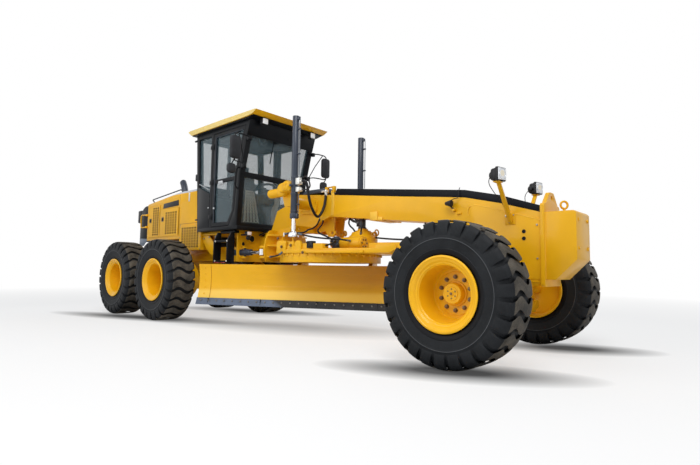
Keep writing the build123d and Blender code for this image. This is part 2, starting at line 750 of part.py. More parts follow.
def lift_ear():
    """The left lug block for a lift cylinder: ball, pedestal and the twin lugs behind it."""
    low = lift_y - 62
    high = lift_y + 42
    pedestal = side_plate([(lift_x - 62, bar_foot_z), (lift_x - 46, lift_eye_z - 78),
                           (lift_x + 46, lift_eye_z - 78), (lift_x + 62, bar_foot_z)], (low, high))
    ball = Pos(lift_x, lift_y, lift_eye_z) * Sphere(lift_ball_radius)
    neck = bar((lift_x, lift_y, lift_eye_z - 80), (lift_x, lift_y, lift_eye_z), 18)
    front_lug = side_plate([(lift_x + 75, bar_foot_z), (lift_x + 75, 1225), (lift_x + 105, 1262),
                            (lift_x + 165, 1262), (lift_x + 195, 1225), (lift_x + 195, bar_foot_z)],
                           (high - 34, high))
    front_lug = rounded(front_lug, Axis.Y, 20, [(lift_x + 105, 1262), (lift_x + 165, 1262),
                                                (lift_x + 75, 1225), (lift_x + 195, 1225)])
    rear_lugs = []
    for y in (low, high - 30):
        lug = block((lift_x - 300, lift_x - 110), (y, y + 30), (bar_foot_z, 1270))
        rear_lugs.append(rounded(lug, Axis.Y, 40, [(lift_x - 300, 1270), (lift_x - 110, 1270)]))
    web = block((lift_x - 260, lift_x - 150), (low, high), (bar_foot_z, 1200))
    return fused([pedestal, ball, neck, front_lug, *rear_lugs, web])


def circle_drive():
    """The gearbox that turns the circle, with its worm housing and motor."""
    levels = [(bar_top_z, drive_radius + 24), (bar_top_z + 22, drive_radius + 24),
              (bar_top_z + 22, drive_radius), (1330, drive_radius), (1362, drive_radius - 40),
              (1398, 150), (1398, 118), (1419, 112), (1419, 78), (1447, 70), (1447, 0),
              (bar_top_z, 0)]
    face = Face(Wire.make_polygon([(radius, 0, z) for z, radius in levels]))
    drum = Pos(drive_x, 0, 0) * revolve(face, Axis.Z)
    worm = bar((drive_x - worm_half, worm_y, worm_z), (drive_x + worm_half, worm_y, worm_z),
               worm_radius)
    cap = bar((drive_x + worm_half - 1, worm_y, worm_z), (drive_x + worm_half + 14, worm_y, worm_z),
              worm_radius - 14)
    saddle = block((drive_x - 150, drive_x + 150), (worm_y - 40, worm_y + 90),
                   (bar_top_z, worm_z))
    motor = bar((drive_x - worm_half - 118, worm_y, worm_z), (drive_x - worm_half, worm_y, worm_z),
                worm_radius - 30)
    handle = ring((drive_x + 150, 60, 1362), (drive_x + 172, 60, 1362), 46, 32)
    keep("circle_drive", fused([drum, worm, cap, saddle, motor, handle]))


def circle_ring():
    """The circle that carries the blade: a toothed ring with a row of studs round its rim."""
    band = ring((circle_x, 0, circle_foot_z), (circle_x, 0, circle_top_z), circle_radius,
                circle_inner)
    centre = (circle_x, 0, 0)
    stud = bar((circle_radius, 0, circle_top_z - 34), (circle_radius, 0, circle_top_z - 4),
               stud_radius)
    studs = round_the_axis(stud, centre, circle_studs)
    pitch = math.pi * circle_inner / circle_teeth
    tooth = flat_plate([
        (circle_inner + 4, -pitch * 0.62), (circle_inner + 4, pitch * 0.62),
        (circle_inner - tooth_depth, pitch * 0.3), (circle_inner - tooth_depth, -pitch * 0.3)],
        (circle_foot_z, circle_foot_z + 70))
    teeth = round_the_axis(tooth, centre, circle_teeth)
    arms = [swing_place() * arm for arm in circle_arms()]
    keep("circle", band.fuse(*studs, *teeth, *arms))


def swing_place():
    """The circle's own frame: origin on its axis at the ground, X along the blade, Y behind it."""
    return Pos(circle_x, 0, 0) * Rot(0, 0, blade_yaw)


def blade_wall(near, far, foot, top):
    """A curved wall along the blade, between two depths behind its face, in the circle's frame."""
    radius = blade_height ** 2 / (8 * blade_sagitta) + blade_sagitta / 2
    middle = blade_height / 2
    axis_y = blade_sagitta - radius
    half = blade_length / 2
    wall = ring((-half, axis_y, middle), (half, axis_y, middle), radius + far, radius + near)
    wall = wall & block((-half, half), (-400, 400), (foot, top))
    place = Pos(-blade_shift, -blade_lead, blade_foot_z) * Rot(-blade_lean, 0, 0)
    return place * wall


def blade_rail(foot, top):
    """A slide rail on the blade's back, long enough for the blade's travel, in the circle's frame."""
    reach = carrier_x + 74
    return block((-reach - shift_forward, reach + shift_rearward), (rail_near, rail_back),
                 (foot, top))


def moldboard():
    """The curved blade, with the two slide rails and the shift rod's lug on its back."""
    wall = blade_wall(0, blade_thickness, edge_height * 0.5, blade_height)
    rails = [blade_rail(z, z + rail_height) for z in rail_feet]
    lug = block((shift_lug_x - 20, shift_lug_x + 20), (rail_near, shift_rod_y + 30),
                (shift_rod_z - 35, shift_rod_z + 35))
    keep("moldboard", swing_place() * fused([wall, *rails, lug]))


def cutting_edge():
    """The bolted edge along the blade's foot."""
    keep("cutting_edge", swing_place() * blade_wall(-edge_thickness, 0, 0, edge_height))


def circle_arms():
    """The two arms that stand down from the circle and hold the blade carrier's pins."""
    arms = []
    top = circle_foot_z
    for x in (-carrier_x, carrier_x):
        plate = cross_plate([
            (carrier_pin_y - 50, carrier_pin_z), (60, top - 95), (190, top), (470, top),
            (470, top - 45), (carrier_pin_y + 50, carrier_pin_z)], (x - 30, x + 30))
        boss = bar((x - 30, carrier_pin_y, carrier_pin_z), (x + 30, carrier_pin_y, carrier_pin_z), 50)
        arm = plate + boss
        arm = arm - bar((x - 40, carrier_pin_y, carrier_pin_z),
                        (x + 40, carrier_pin_y, carrier_pin_z), carrier_pin_radius + running_gap)
        arms.append(arm)
    return arms


def blade_carrier():
    """The tilting carrier: a claw round the rails at each arm, and the tube that joins them."""
    face = rail_back + running_gap
    low = rail_feet[0] - running_gap
    high = rail_feet[1] + rail_height + running_gap
    claws = []
    for x in (-carrier_x, carrier_x):
        cheeks = []
        for inner in (x - 30 - running_gap - 24, x + 30 + running_gap):
            cheeks.append(cross_plate([
                (face, low - 24), (face + 20, low - 24), (carrier_pin_y + 45, carrier_pin_z - 30),
                (carrier_pin_y + 45, carrier_pin_z + 40), (face + 24, high + 24),
                (face, high + 24)], (inner, inner + 24)))
        plate = block((x - 54, x + 54), (face, face + 20), (low - 24, high + 24))
        lips = [block((x - 54, x + 54), (face - 40, face), (low - 24, low)),
                block((x - 54, x + 54), (face - 40, face), (high, high + 24))]
        pin = bar((x - 54, carrier_pin_y, carrier_pin_z), (x + 54, carrier_pin_y, carrier_pin_z),
                  carrier_pin_radius)
        claws.extend([*cheeks, plate, *lips, pin])
    tube = bar((-carrier_x + 54, face + 24, shift_rod_z + 60), (carrier_x - 54, face + 24,
               shift_rod_z + 60), 22)
    keep("blade_carrier", swing_place() * fused([*claws, tube]))


def shift_cylinder():
    """The cylinder that slides the blade along its carrier."""
    y, z = shift_rod_y, shift_rod_z
    end = carrier_x - 54 - 20
    tube = ring((-end, y, z), (end, y, z), shift_barrel_radius, shift_rod_radius + running_gap)
    cap = bar((-end - 15, y, z), (-end, y, z), shift_barrel_radius)
    foot = block((-carrier_x - 30, -end - 10), (y - 10, rail_back + running_gap), (z - 20, z + 20))
    keep("shift_barrel", swing_place() * fused([tube, cap, foot]))
    rod = bar((shift_lug_x - shift_rod_length, y, z), (shift_lug_x - 20, y, z), shift_rod_radius)
    keep("shift_rod", swing_place() * rod)


# ---------------------------------------------------------------- lift cylinders
def lift_cylinders():
    """The two tall cylinders that raise and lower the drawbar."""
    barrel = ring((lift_x, lift_y, lift_barrel_foot_z), (lift_x, lift_y, lift_top_z),
                  lift_barrel_radius, lift_rod_radius + running_gap)
    for sign in (1, -1):
        barrel = barrel + bar((lift_x, lift_y + sign * (lift_barrel_radius - 8), yoke_z),
                              (lift_x, lift_y + sign * 83, yoke_z), lift_trunnion_radius)
    keep("lift_barrels", *both_sides(barrel))
    rod = bar((lift_x, lift_y, lift_eye_z + 60), (lift_x, lift_y, lift_rod_top_z), lift_rod_radius)
    eye = Pos(lift_x, lift_y, lift_eye_z) * (Sphere(74) - Sphere(lift_ball_radius + lift_drift))
    eye = eye - block((lift_x - 90, lift_x + 90), (lift_y - 90, lift_y + 90),
                      (lift_eye_z - 90, lift_eye_z - 15))
    keep("lift_rods", *both_sides(rod + eye))


# ---------------------------------------------------------------- rear frame
def rear_frame():
    """Rails, hitch tongue and the bulkhead behind the hinge."""
    wide_x = -4900.0
    narrow_x = -4650.0
    rails = flat_plate([
        (hood_rear_x, rail_outer), (wide_x, rail_outer), (narrow_x, 250), (bulkhead_x, 250),
        (bulkhead_x, 130), (narrow_x, 130), (wide_x, rail_outer - rail_wall),
        (hood_rear_x, rail_outer - rail_wall)], (rail_foot_z, rail_top_z))
    cross = [
        block((hood_rear_x, hood_rear_x + 120), (-rail_outer, rail_outer), (rail_foot_z, rail_top_z)),
        block((bulkhead_x - 300, bulkhead_x - 60), (-250, 250), (rail_foot_z, rail_top_z))]
    pads = []
    for x in (bogie_mid_x - 200, bogie_mid_x + 100):
        pads.append(block((x, x + 100), (-rail_outer, rail_outer),
                          (axle_z + axle_housing_half, rail_foot_z)))
    tongue = fused([
        block((bulkhead_x - 100, hitch_x), (-115, 115), (tongue_foot_z, tongue_top_z)),
        bar((hitch_x, 0, tongue_foot_z), (hitch_x, 0, tongue_top_z), boss_radius)])
    tongue = tongue - bar((hitch_x, 0, tongue_foot_z - 5), (hitch_x, 0, tongue_top_z + 5),
                          pin_radius + running_gap)
    wall = block((bulkhead_x - bulkhead_thickness, bulkhead_x), (-bulkhead_half, bulkhead_half),
                 (rail_foot_z - 10, bulkhead_top_z))
    cab_floor = block((cab_rear_foot_x, bulkhead_x), (-bulkhead_half, bulkhead_half),
                      (bulkhead_top_z - 40, cab_foot_z))
    post = block((cab_rear_foot_x, cab_rear_foot_x + 60), (rail_outer - 80, rail_outer),
                 (rail_top_z, bulkhead_top_z - 40))
    frame = fused([rails, other_side(rails), *cross, *pads, tongue, wall, cab_floor,
                   *both_sides(post)])
    x = hitch_x + fold_post_x
    for sign in (1, -1):
        y = sign * fold_post_y
        frame = frame - bar((bulkhead_x - 60, y, fold_z), (bulkhead_x + 20, y, fold_z),
                            fold_barrel_radius + 32)
    ears = []
    for low in (fold_z - fold_barrel_radius - 45, fold_z + fold_barrel_radius + 17):
        ear = block((bulkhead_x, x + 35), (fold_post_y - 35, fold_post_y + 35), (low, low + 28))
        ear = ear - bar((x, fold_post_y, low - 2), (x, fold_post_y, low + 30),
                        fold_pin_radius + running_gap)
        ears.extend(both_sides(ear))
    hitch = block((-tail_reach, hood_rear_x), (-60, 60), (rail_foot_z + 40, rail_foot_z + 100))
    keep("rear_frame", fused([frame, *ears, hitch]))


def tandem_axle():
    """The rear axle housing and the two walking-beam cases."""
    housing = block((bogie_mid_x - axle_housing_half, bogie_mid_x + axle_housing_half),
                    (-case_inner_y, case_inner_y),
                    (axle_z - axle_housing_half, axle_z + axle_housing_half))
    stub_end = track_half + rear_disc_offset - disc_thickness / 2 - 12 - 2
    case = block((bogie_rear_x, bogie_front_x), (case_inner_y, case_outer_y),
                 (axle_z - case_half_height, axle_z + case_half_height))
    case = fused([case] + [
        bar((x, case_inner_y, axle_z), (x, case_outer_y, axle_z), case_half_height)
        for x in (bogie_front_x, bogie_rear_x)])
    stubs = [bar((x, case_outer_y - 5, axle_z), (x, stub_end, axle_z), spindle_radius)
             for x in (bogie_front_x, bogie_rear_x)]
    keep("tandem_axle", fused([housing, *both_sides(fused([case, *stubs]))]))


def fold_cylinders():
    """The two cylinders that fold the machine at its hitch."""
    post = Vector(hitch_x + fold_post_x, fold_post_y, fold_z)
    eye = Vector(hitch_x + fold_eye_x, fold_eye_y, fold_z)
    way = (eye - post).normalized()
    tube = ring(post - way * fold_barrel_back, post + way * fold_barrel_front,
                fold_barrel_radius, fold_rod_radius + running_gap)
    cap = bar(post - way * (fold_barrel_back + 20), post - way * fold_barrel_back,
              fold_barrel_radius)
    pins = bar(post + Vector(0, 0, fold_barrel_radius - 8), post + Vector(0, 0, fold_barrel_radius + 45),
               fold_pin_radius)
    low_pins = bar(post - Vector(0, 0, fold_barrel_radius - 8),
                   post - Vector(0, 0, fold_barrel_radius + 45), fold_pin_radius)
    barrel = fused([tube, cap, pins, low_pins])
    rod = bar(eye - way * fold_rod_inside, eye - way * 50, fold_rod_radius)
    knuckle = ring(eye - Vector(0, 0, 45), eye + Vector(0, 0, 45), 60, fold_pin_radius + fold_drift)
    rod = fused([rod, knuckle])
    for side, sign in SIDES:
        keep(f"fold_barrel_{side}", barrel if sign > 0 else other_side(barrel))
        keep(f"fold_rod_{side}", rod if sign > 0 else other_side(rod))


# ---------------------------------------------------------------- engine and hood
def engine():
    """The engine, one plain block on the rails."""
    keep("engine_block", block((engine_rear_x, engine_front_x), (-engine_half, engine_half),
                               (rail_top_z, engine_top_z)))


def hood_outline():
    """The hood's side outline as (x, z) points."""
    return [
        (hood_rear_x, hood_foot_z), (hood_rear_x, hood_rear_z), (hood_step_x, hood_front_z),
        (hood_front_x, hood_front_z), (hood_front_x, hood_foot_z)]


def hood_door(low, high):
    """The left panel of a hood opening, with its grid of square holes."""
    foot = hood_door_foot_z + door_gap
    top = hood_door_top_z - door_gap
    panel = block((low + door_gap, high - door_gap), (hood_half - door_thickness, hood_half),
                  (foot, top))
    panel = rounded(panel, Axis.Y, 14)
    columns = int((high - low) / grille_pitch / 2)
    middle_x = (low + high) / 2
    holes = []
    for column in range(columns):
        for row in range(5):
            x = middle_x + (column - (columns - 1) / 2) * grille_pitch
            z = foot + 110 + row * grille_pitch
            holes.append(block((x - grille_hole / 2, x + grille_hole / 2),
                               (hood_half - door_thickness - 1, hood_half + 1),
                               (z - grille_hole / 2, z + grille_hole / 2)))
    return panel.cut(*holes)


def hood():
    """The engine hood, hollow, with openings that its doors fill."""
    shell = side_plate(hood_outline(), (-hood_half, hood_half))
    corners = [(side * hood_half, z) for side in (1, -1) for z in (hood_front_z, hood_rear_z)]
    shell = rounded(shell, Axis.X, 45, corners)
    wall = hood_wall
    inner = [
        (hood_rear_x + wall, hood_foot_z - 1), (hood_rear_x + wall, hood_rear_z - wall),
        (hood_step_x, hood_front_z - wall), (hood_front_x - wall, hood_front_z - wall),
        (hood_front_x - wall, hood_foot_z - 1)]
    shell = shell - side_plate(inner, (-hood_half + wall, hood_half - wall))
    for name, low, high in hood_doors:
        edge = door_rebate
        window = block((low + edge, high - edge), (-hood_half - 5, hood_half + 5),
                       (hood_door_foot_z + edge, hood_door_top_z - edge))
        recess = block((low, high), (hood_half - door_thickness - seat_gap, hood_half + 5),
                       (hood_door_foot_z, hood_door_top_z))
        shell = shell - window - recess - other_side(recess)
        panel = hood_door(low, high)
        for side, sign in SIDES:
            keep(f"hood_door_{name}_{side}", panel if sign > 0 else other_side(panel))
    sills = block((hood_rear_x, hood_front_x), (rail_outer - 60, hood_half),
                  (hood_foot_z - 40, hood_foot_z))
    posts = []
    for x in (hood_rear_x, hood_step_x - 160, hood_front_x - 60):
        posts.append(block((x, x + 60), (rail_outer - 60, rail_outer), (rail_top_z, hood_foot_z - 40)))
    side_box = block((side_box_rear_x, side_box_front_x), (430, hood_half + 40),
                     (1190, hood_foot_z - 40))
    side_box = rounded(side_box, Axis.X, 30, [(hood_half + 40, 1190)])
    stand = fused([sills, *posts, side_box])
    keep("engine_hood", fused([shell, *both_sides(stand)]))


def radiator_guard():
    """The dark guard round the radiator at the tail: a curved hood with slats across its back."""
    guard = side_plate([(guard_rear_x, guard_foot_z), (guard_rear_x, guard_top_z),
                        (hood_rear_x, guard_top_z), (hood_rear_x, guard_foot_z)],
                       (-guard_half, guard_half))
    guard = rounded(guard, Axis.Y, guard_bend, [(guard_rear_x, guard_top_z)])
    pitch = (guard_top_z - guard_bend - guard_foot_z - 40) / guard_slats
    slots = []
    for step in range(guard_slats):
        z = guard_foot_z + 50 + step * pitch
        slots.append(block((guard_rear_x - 1, guard_rear_x + guard_slat_depth),
                           (-guard_half + 60, guard_half - 60), (z, z + pitch * 0.55)))
    keep("radiator_guard", guard.cut(*slots))


def exhaust():
    """The short exhaust stack that leans back on the hood."""
    stack = bar(exhaust_foot, exhaust_top, 52)
    collar = bar((exhaust_foot[0] - 25, exhaust_foot[1], 2150),
                 (exhaust_foot[0] - 62, exhaust_foot[1], 2330), 92)
    top = Vector(*exhaust_top)
    way = (top - Vector(*exhaust_foot)).normalized()
    bore = bar(top - way * 160, top + way * 5, 45)
    stack = fused([stack, collar]) - bore
    keep("exhaust_stack", stack - side_plate(hood_outline(), (-hood_half, hood_half)))


# ---------------------------------------------------------------- cab
def cab_outline(inset):
    """The cab's side outline as (x, z) points, drawn in by an inset."""
    return [
        (cab_front_foot_x - inset, cab_foot_z + inset),
        (cab_front_waist_x - inset, cab_waist_z),
        (cab_front_top_x - inset, cab_top_z - inset),
        (cab_rear_top_x + inset, cab_top_z - inset),
        (cab_rear_foot_x + inset, cab_foot_z + inset)]


def door_outline(inset):
    """The door's outline as (x, z) points, drawn in by an inset."""
    return [
        (cab_front_foot_x - pillar - 140 - inset * 0.6, cab_foot_z + 60 + inset),
        (cab_front_waist_x - pillar - 60 - inset, cab_waist_z - 560),
        (cab_front_waist_x - pillar - 12 - inset, cab_waist_z),
        (cab_front_top_x - pillar - 20 - inset, cab_top_z - 70 - inset),
        (cab_post_x + 20 + inset, cab_top_z - 70 - inset),
        (cab_post_x + 20 + inset, cab_foot_z + 60 + inset)]


def cab():
    """The hollow cab, with its windows cut, doors, glass and roof."""
    shell = side_plate(cab_outline(0), (-cab_half, cab_half))
    shell = shell - side_plate(cab_outline(pillar), (-cab_half + pillar, cab_half - pillar))
    shell = shell - side_plate(door_outline(door_rebate), (-cab_half - 5, cab_half + 5))
    recess = side_plate(door_outline(0), (cab_half - cab_door_thickness - seat_gap, cab_half + 5))
    shell = shell - recess - other_side(recess)
    rear_pane = [
        (cab_post_x - 50, cab_waist_z - 330), (cab_post_x - 50, cab_top_z - 90),
        (cab_rear_top_x + 90, cab_top_z - 90), (cab_rear_foot_x + 20, cab_waist_z - 200)]
    shell = shell - side_plate(rear_pane, (-cab_half - 5, cab_half + 5))
    front_high = block((cab_front_foot_x - 200, cab_front_top_x + 200), (-cab_half + 90, cab_half - 90),
                       (cab_waist_z + 40, cab_top_z - 100))
    front_low = block((cab_front_foot_x - 200, cab_front_top_x + 200), (-cab_half + 90, cab_half - 90),
                      (cab_foot_z + 110, cab_waist_z - 40))
    rear_hole = block((cab_rear_top_x - 100, cab_rear_foot_x + 100), (-cab_half + 90, cab_half - 90),
                      (cab_waist_z - 60, cab_top_z - 100))
    keep("cab_shell", shell - front_high - front_low - rear_hole)
    pane_y = cab_half - pillar / 2
    panes = both_sides(side_plate(rear_pane, (pane_y, pane_y + glass_thickness)))
    mid = pillar / 2
    pane_body = side_plate(cab_outline(mid), (-cab_half + 90, cab_half - 90))
    pane_body = pane_body - side_plate(cab_outline(mid + glass_thickness), (-cab_half, cab_half))
    for low, high in ((cab_waist_z + 40, cab_top_z - 100), (cab_foot_z + 110, cab_waist_z - 40)):
        pane = pane_body
        window = block((cab_front_foot_x - 120, cab_front_top_x + 200),
                       (-cab_half + 90, cab_half - 90), (low, high))
        panes.append(pane & window)
        if low > cab_waist_z:
            tail = block((cab_rear_top_x - 100, cab_rear_foot_x + 100),
                         (-cab_half + 90, cab_half - 90), (cab_waist_z - 60, cab_top_z - 100))
            panes.append(pane_body & tail)
    keep("cab_glass", *panes)
    for side, sign in SIDES:
        leaf = side_plate(door_outline(door_gap), (cab_half - cab_door_thickness, cab_half))
        hole = door_outline(70)
        leaf = leaf - side_plate(hole, (cab_half - 60, cab_half + 10))
        rail = side_plate([(hole[2][0] + 25, door_rail_z - 28), (hole[2][0] + 25, door_rail_z + 28),
                           (hole[4][0] - 5, door_rail_z + 28), (hole[4][0] - 5, door_rail_z - 28)],
                          (cab_half - cab_door_thickness, cab_half))
        leaf = fused([leaf, rail])
        glass = side_plate(hole, (cab_half - 30, cab_half - 30 + glass_thickness)) - rail
        keep(f"cab_door_{side}", leaf if sign > 0 else other_side(leaf))
        keep(f"door_glass_{side}", glass if sign > 0 else other_side(glass))
    keep("cab_roof", cab_roof())


def cab_roof():
    """The roof slab, swept down at its front edge, with two work lamps under the overhang."""
    low, high = cab_top_z, cab_top_z + roof_thickness
    slab = side_plate([(roof_rear_x, low), (roof_rear_x, high - 20), (roof_rear_x + 60, high),
                       (roof_front_x - roof_corner, high), (roof_front_x, low + 34),
                       (roof_front_x, low)], (-roof_half, roof_half))
    slab = rounded(slab, Axis.Y, 60, [(roof_front_x - roof_corner, high)])
    lamps = []
    for y in (-roof_lamp_y, roof_lamp_y):
        lamps.append(block((roof_front_x - 90, roof_front_x - 30), (y - 60, y + 60),
                           (low - 95, low + 1)))
    return fused([slab, *lamps])


def cab_interior():
    """Seat, floor console and steering column on the cab floor."""
    floor = cab_foot_z + pillar
    pedestal = block((-4780, -4520), (-140, 140), (floor, floor + 280))
    cushion = rounded(block((-4850, -4390), (-245, 245), (floor + 280, floor + 400)), Axis.Z, 70)
    back = side_plate([(-4850, floor + 380), (-4740, floor + 380), (-4830, floor + 1000),
                       (-4900, floor + 1000)], (-235, 235))
    rest = block((-4930, -4850), (-130, 130), (floor + 990, floor + 1150))
    column = side_plate([(-4190, floor), (-4090, floor), (-4150, floor + 640),
                         (-4230, floor + 600)], (-70, 70))
    hub = (-4215, 0, floor + 660)
    wheel = Plane(origin=hub, z_dir=(-0.5, 0, 1)) * (Cylinder(190, 24) - Cylinder(160, 26))
    spokes = Plane(origin=hub, x_dir=(0, 1, 0), z_dir=(-0.5, 0, 1)) * Box(340, 40, 18)
    stem = bar((-4190, 0, floor + 590), hub, 26)
    keep("cab_interior", fused([pedestal, cushion, back, rest]),
         fused([column, stem, wheel, spokes]))


def steps():
    """Ladders below the doors: two cheeks a side, with rungs between."""
    cheeks = []
    for x in (-4500.0, -4130.0):
        cheeks.append(cross_plate([(640, 960), (640, 1450), (700, 1450), (770, 1310), (770, 960)],
                                  (x, x + 25)))
    rungs = [block((-4476, -4130), (640, 765), (z, z + 25)) for z in (965.0, 1290.0)]
    hanger = block((-4500, -4105), (bulkhead_half, 641), (1440, 1480))
    keep("steps", *both_sides(fused([*cheeks, *rungs, hanger])))


def mirrors():
    """Side mirrors at the front pillars, a tall one over a small one."""
    pillar_y = cab_half - 30
    pieces = []
    for z, height, width, start_x in ((2685, 380, 170, -3900), (2330, 150, 140, -3985)):
        arm = bar((start_x, pillar_y, z), (mirror_x - 18, mirror_y, z), 11)
        arm = arm - block((-4200, -3600), (0, cab_half), (z - 60, z + 60))
        housing = block((mirror_x - 34, mirror_x), (mirror_y - width / 2, mirror_y + width / 2),
                        (z - height / 2, z + height / 2))
        housing = rounded(housing, Axis.X, 30)
        pieces.extend(both_sides(arm + housing))
    keep("mirrors", *pieces)


# ---------------------------------------------------------------- build and write
BUILDERS = (
    wheels, main_frame, hose_cover, counterweight, head_lamps, lift_saddle, front_axle,
    lean_brackets, lean_bar, knuckles, tie_rod, drawbar, circle_drive, circle_ring,
    moldboard, cutting_edge, blade_carrier, shift_cylinder, lift_cylinders, rear_frame,
    tandem_axle, fold_cylinders, engine, hood, radiator_guard, exhaust, cab, cab_interior,
    steps, mirrors)


def main():
    """Builds every node and writes one STEP file for each."""
    os.makedirs("parts", exist_ok=True)
    for build in BUILDERS:
        build()
    to_row = Pos(row_shift, 0, 0)
    for name, solids in NODES.items():
        export_step(to_row * Compound(children=solids), f"parts/{name}.step")
        print(f"{name}: {len(solids)} solids")


main()
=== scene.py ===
"""Motor grader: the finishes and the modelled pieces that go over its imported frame.

Metres: X forward, Y to the machine's left, Z up from the ground. The frame's origin lies under
the machine's middle. The sub-assemblies are written from the front axle, FRONT_AXLE_X ahead of it.
"""

import json
import logging
import math
from dataclasses import dataclass, field
from enum import Enum
from typing import Any, Callable, Iterable, Sequence

import bpy
from mathutils import Matrix, Vector

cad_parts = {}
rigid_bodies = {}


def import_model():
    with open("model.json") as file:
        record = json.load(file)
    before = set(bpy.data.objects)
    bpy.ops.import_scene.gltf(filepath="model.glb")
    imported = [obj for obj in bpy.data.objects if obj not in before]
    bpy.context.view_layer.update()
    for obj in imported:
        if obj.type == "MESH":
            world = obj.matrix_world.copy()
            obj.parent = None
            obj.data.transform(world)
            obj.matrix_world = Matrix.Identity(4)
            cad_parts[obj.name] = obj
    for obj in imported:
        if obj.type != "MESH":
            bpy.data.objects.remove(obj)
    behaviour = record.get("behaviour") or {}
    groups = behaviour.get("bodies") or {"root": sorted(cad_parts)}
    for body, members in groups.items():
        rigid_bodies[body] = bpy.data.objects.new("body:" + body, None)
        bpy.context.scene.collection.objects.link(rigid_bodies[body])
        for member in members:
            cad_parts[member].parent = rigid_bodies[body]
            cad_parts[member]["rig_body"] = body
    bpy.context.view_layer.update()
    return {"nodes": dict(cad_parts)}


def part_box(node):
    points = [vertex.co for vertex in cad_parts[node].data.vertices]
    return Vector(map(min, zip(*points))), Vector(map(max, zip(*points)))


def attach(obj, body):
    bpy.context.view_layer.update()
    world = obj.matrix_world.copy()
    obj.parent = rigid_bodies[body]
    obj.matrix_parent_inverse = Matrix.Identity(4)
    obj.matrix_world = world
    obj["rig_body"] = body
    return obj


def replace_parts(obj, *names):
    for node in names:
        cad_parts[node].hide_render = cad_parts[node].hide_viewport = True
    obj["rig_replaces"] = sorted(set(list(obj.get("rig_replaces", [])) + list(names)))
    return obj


Point = tuple[float, float, float]
Outline = Sequence[tuple[float, float]]

FRONT_AXLE_X = 3.5575
SIDES = (("L", 1), ("R", -1))

log = logging.getLogger("grader")
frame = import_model()


class Slot(Enum):
    """The record's material slots."""

    YELLOW = "yellow_paint"
    BLACK = "black_paint"
    SLATE = "slate_paint"
    RUBBER = "tyre_rubber"
    CHROME = "chrome_rod"
    GLASS = "cab_glazing"
    PLASTIC = "dark_plastic"
    IRON = "grey_iron"
    EDGE = "edge_steel"
    LAMP = "lamp_black"


# ------------------------------------------------------------------ shader maths
class Sock:
    """A socket's value in a shader tree; its operators add Math nodes."""

    def __init__(self, graph: "Graph", link: Any) -> None:
        """Wraps an output socket of a graph."""
        self.graph = graph
        self.link = link

    def _join(self, operation: str, first: Any, second: Any) -> "Sock":
        """Adds one Math node and gives its result."""
        node = self.graph.node("ShaderNodeMath", {"operation": operation}, {0: first, 1: second})
        return Sock(self.graph, node.outputs[0])

    def __add__(self, other: Any) -> "Sock":
        """The sum."""
        return self._join("ADD", self, other)

    __radd__ = __add__

    def __mul__(self, other: Any) -> "Sock":
        """The product."""
        return self._join("MULTIPLY", self, other)

    __rmul__ = __mul__

    def __rsub__(self, other: Any) -> "Sock":
        """What is left of a number when the value is taken off it."""
        return self._join("SUBTRACT", other, self)

    def larger(self, other: Any) -> "Sock":
        """The larger of two values."""
        return self._join("MAXIMUM", self, other)

    def power(self, exponent: float) -> "Sock":
        """The value to a power."""
        return self._join("POWER", self, exponent)


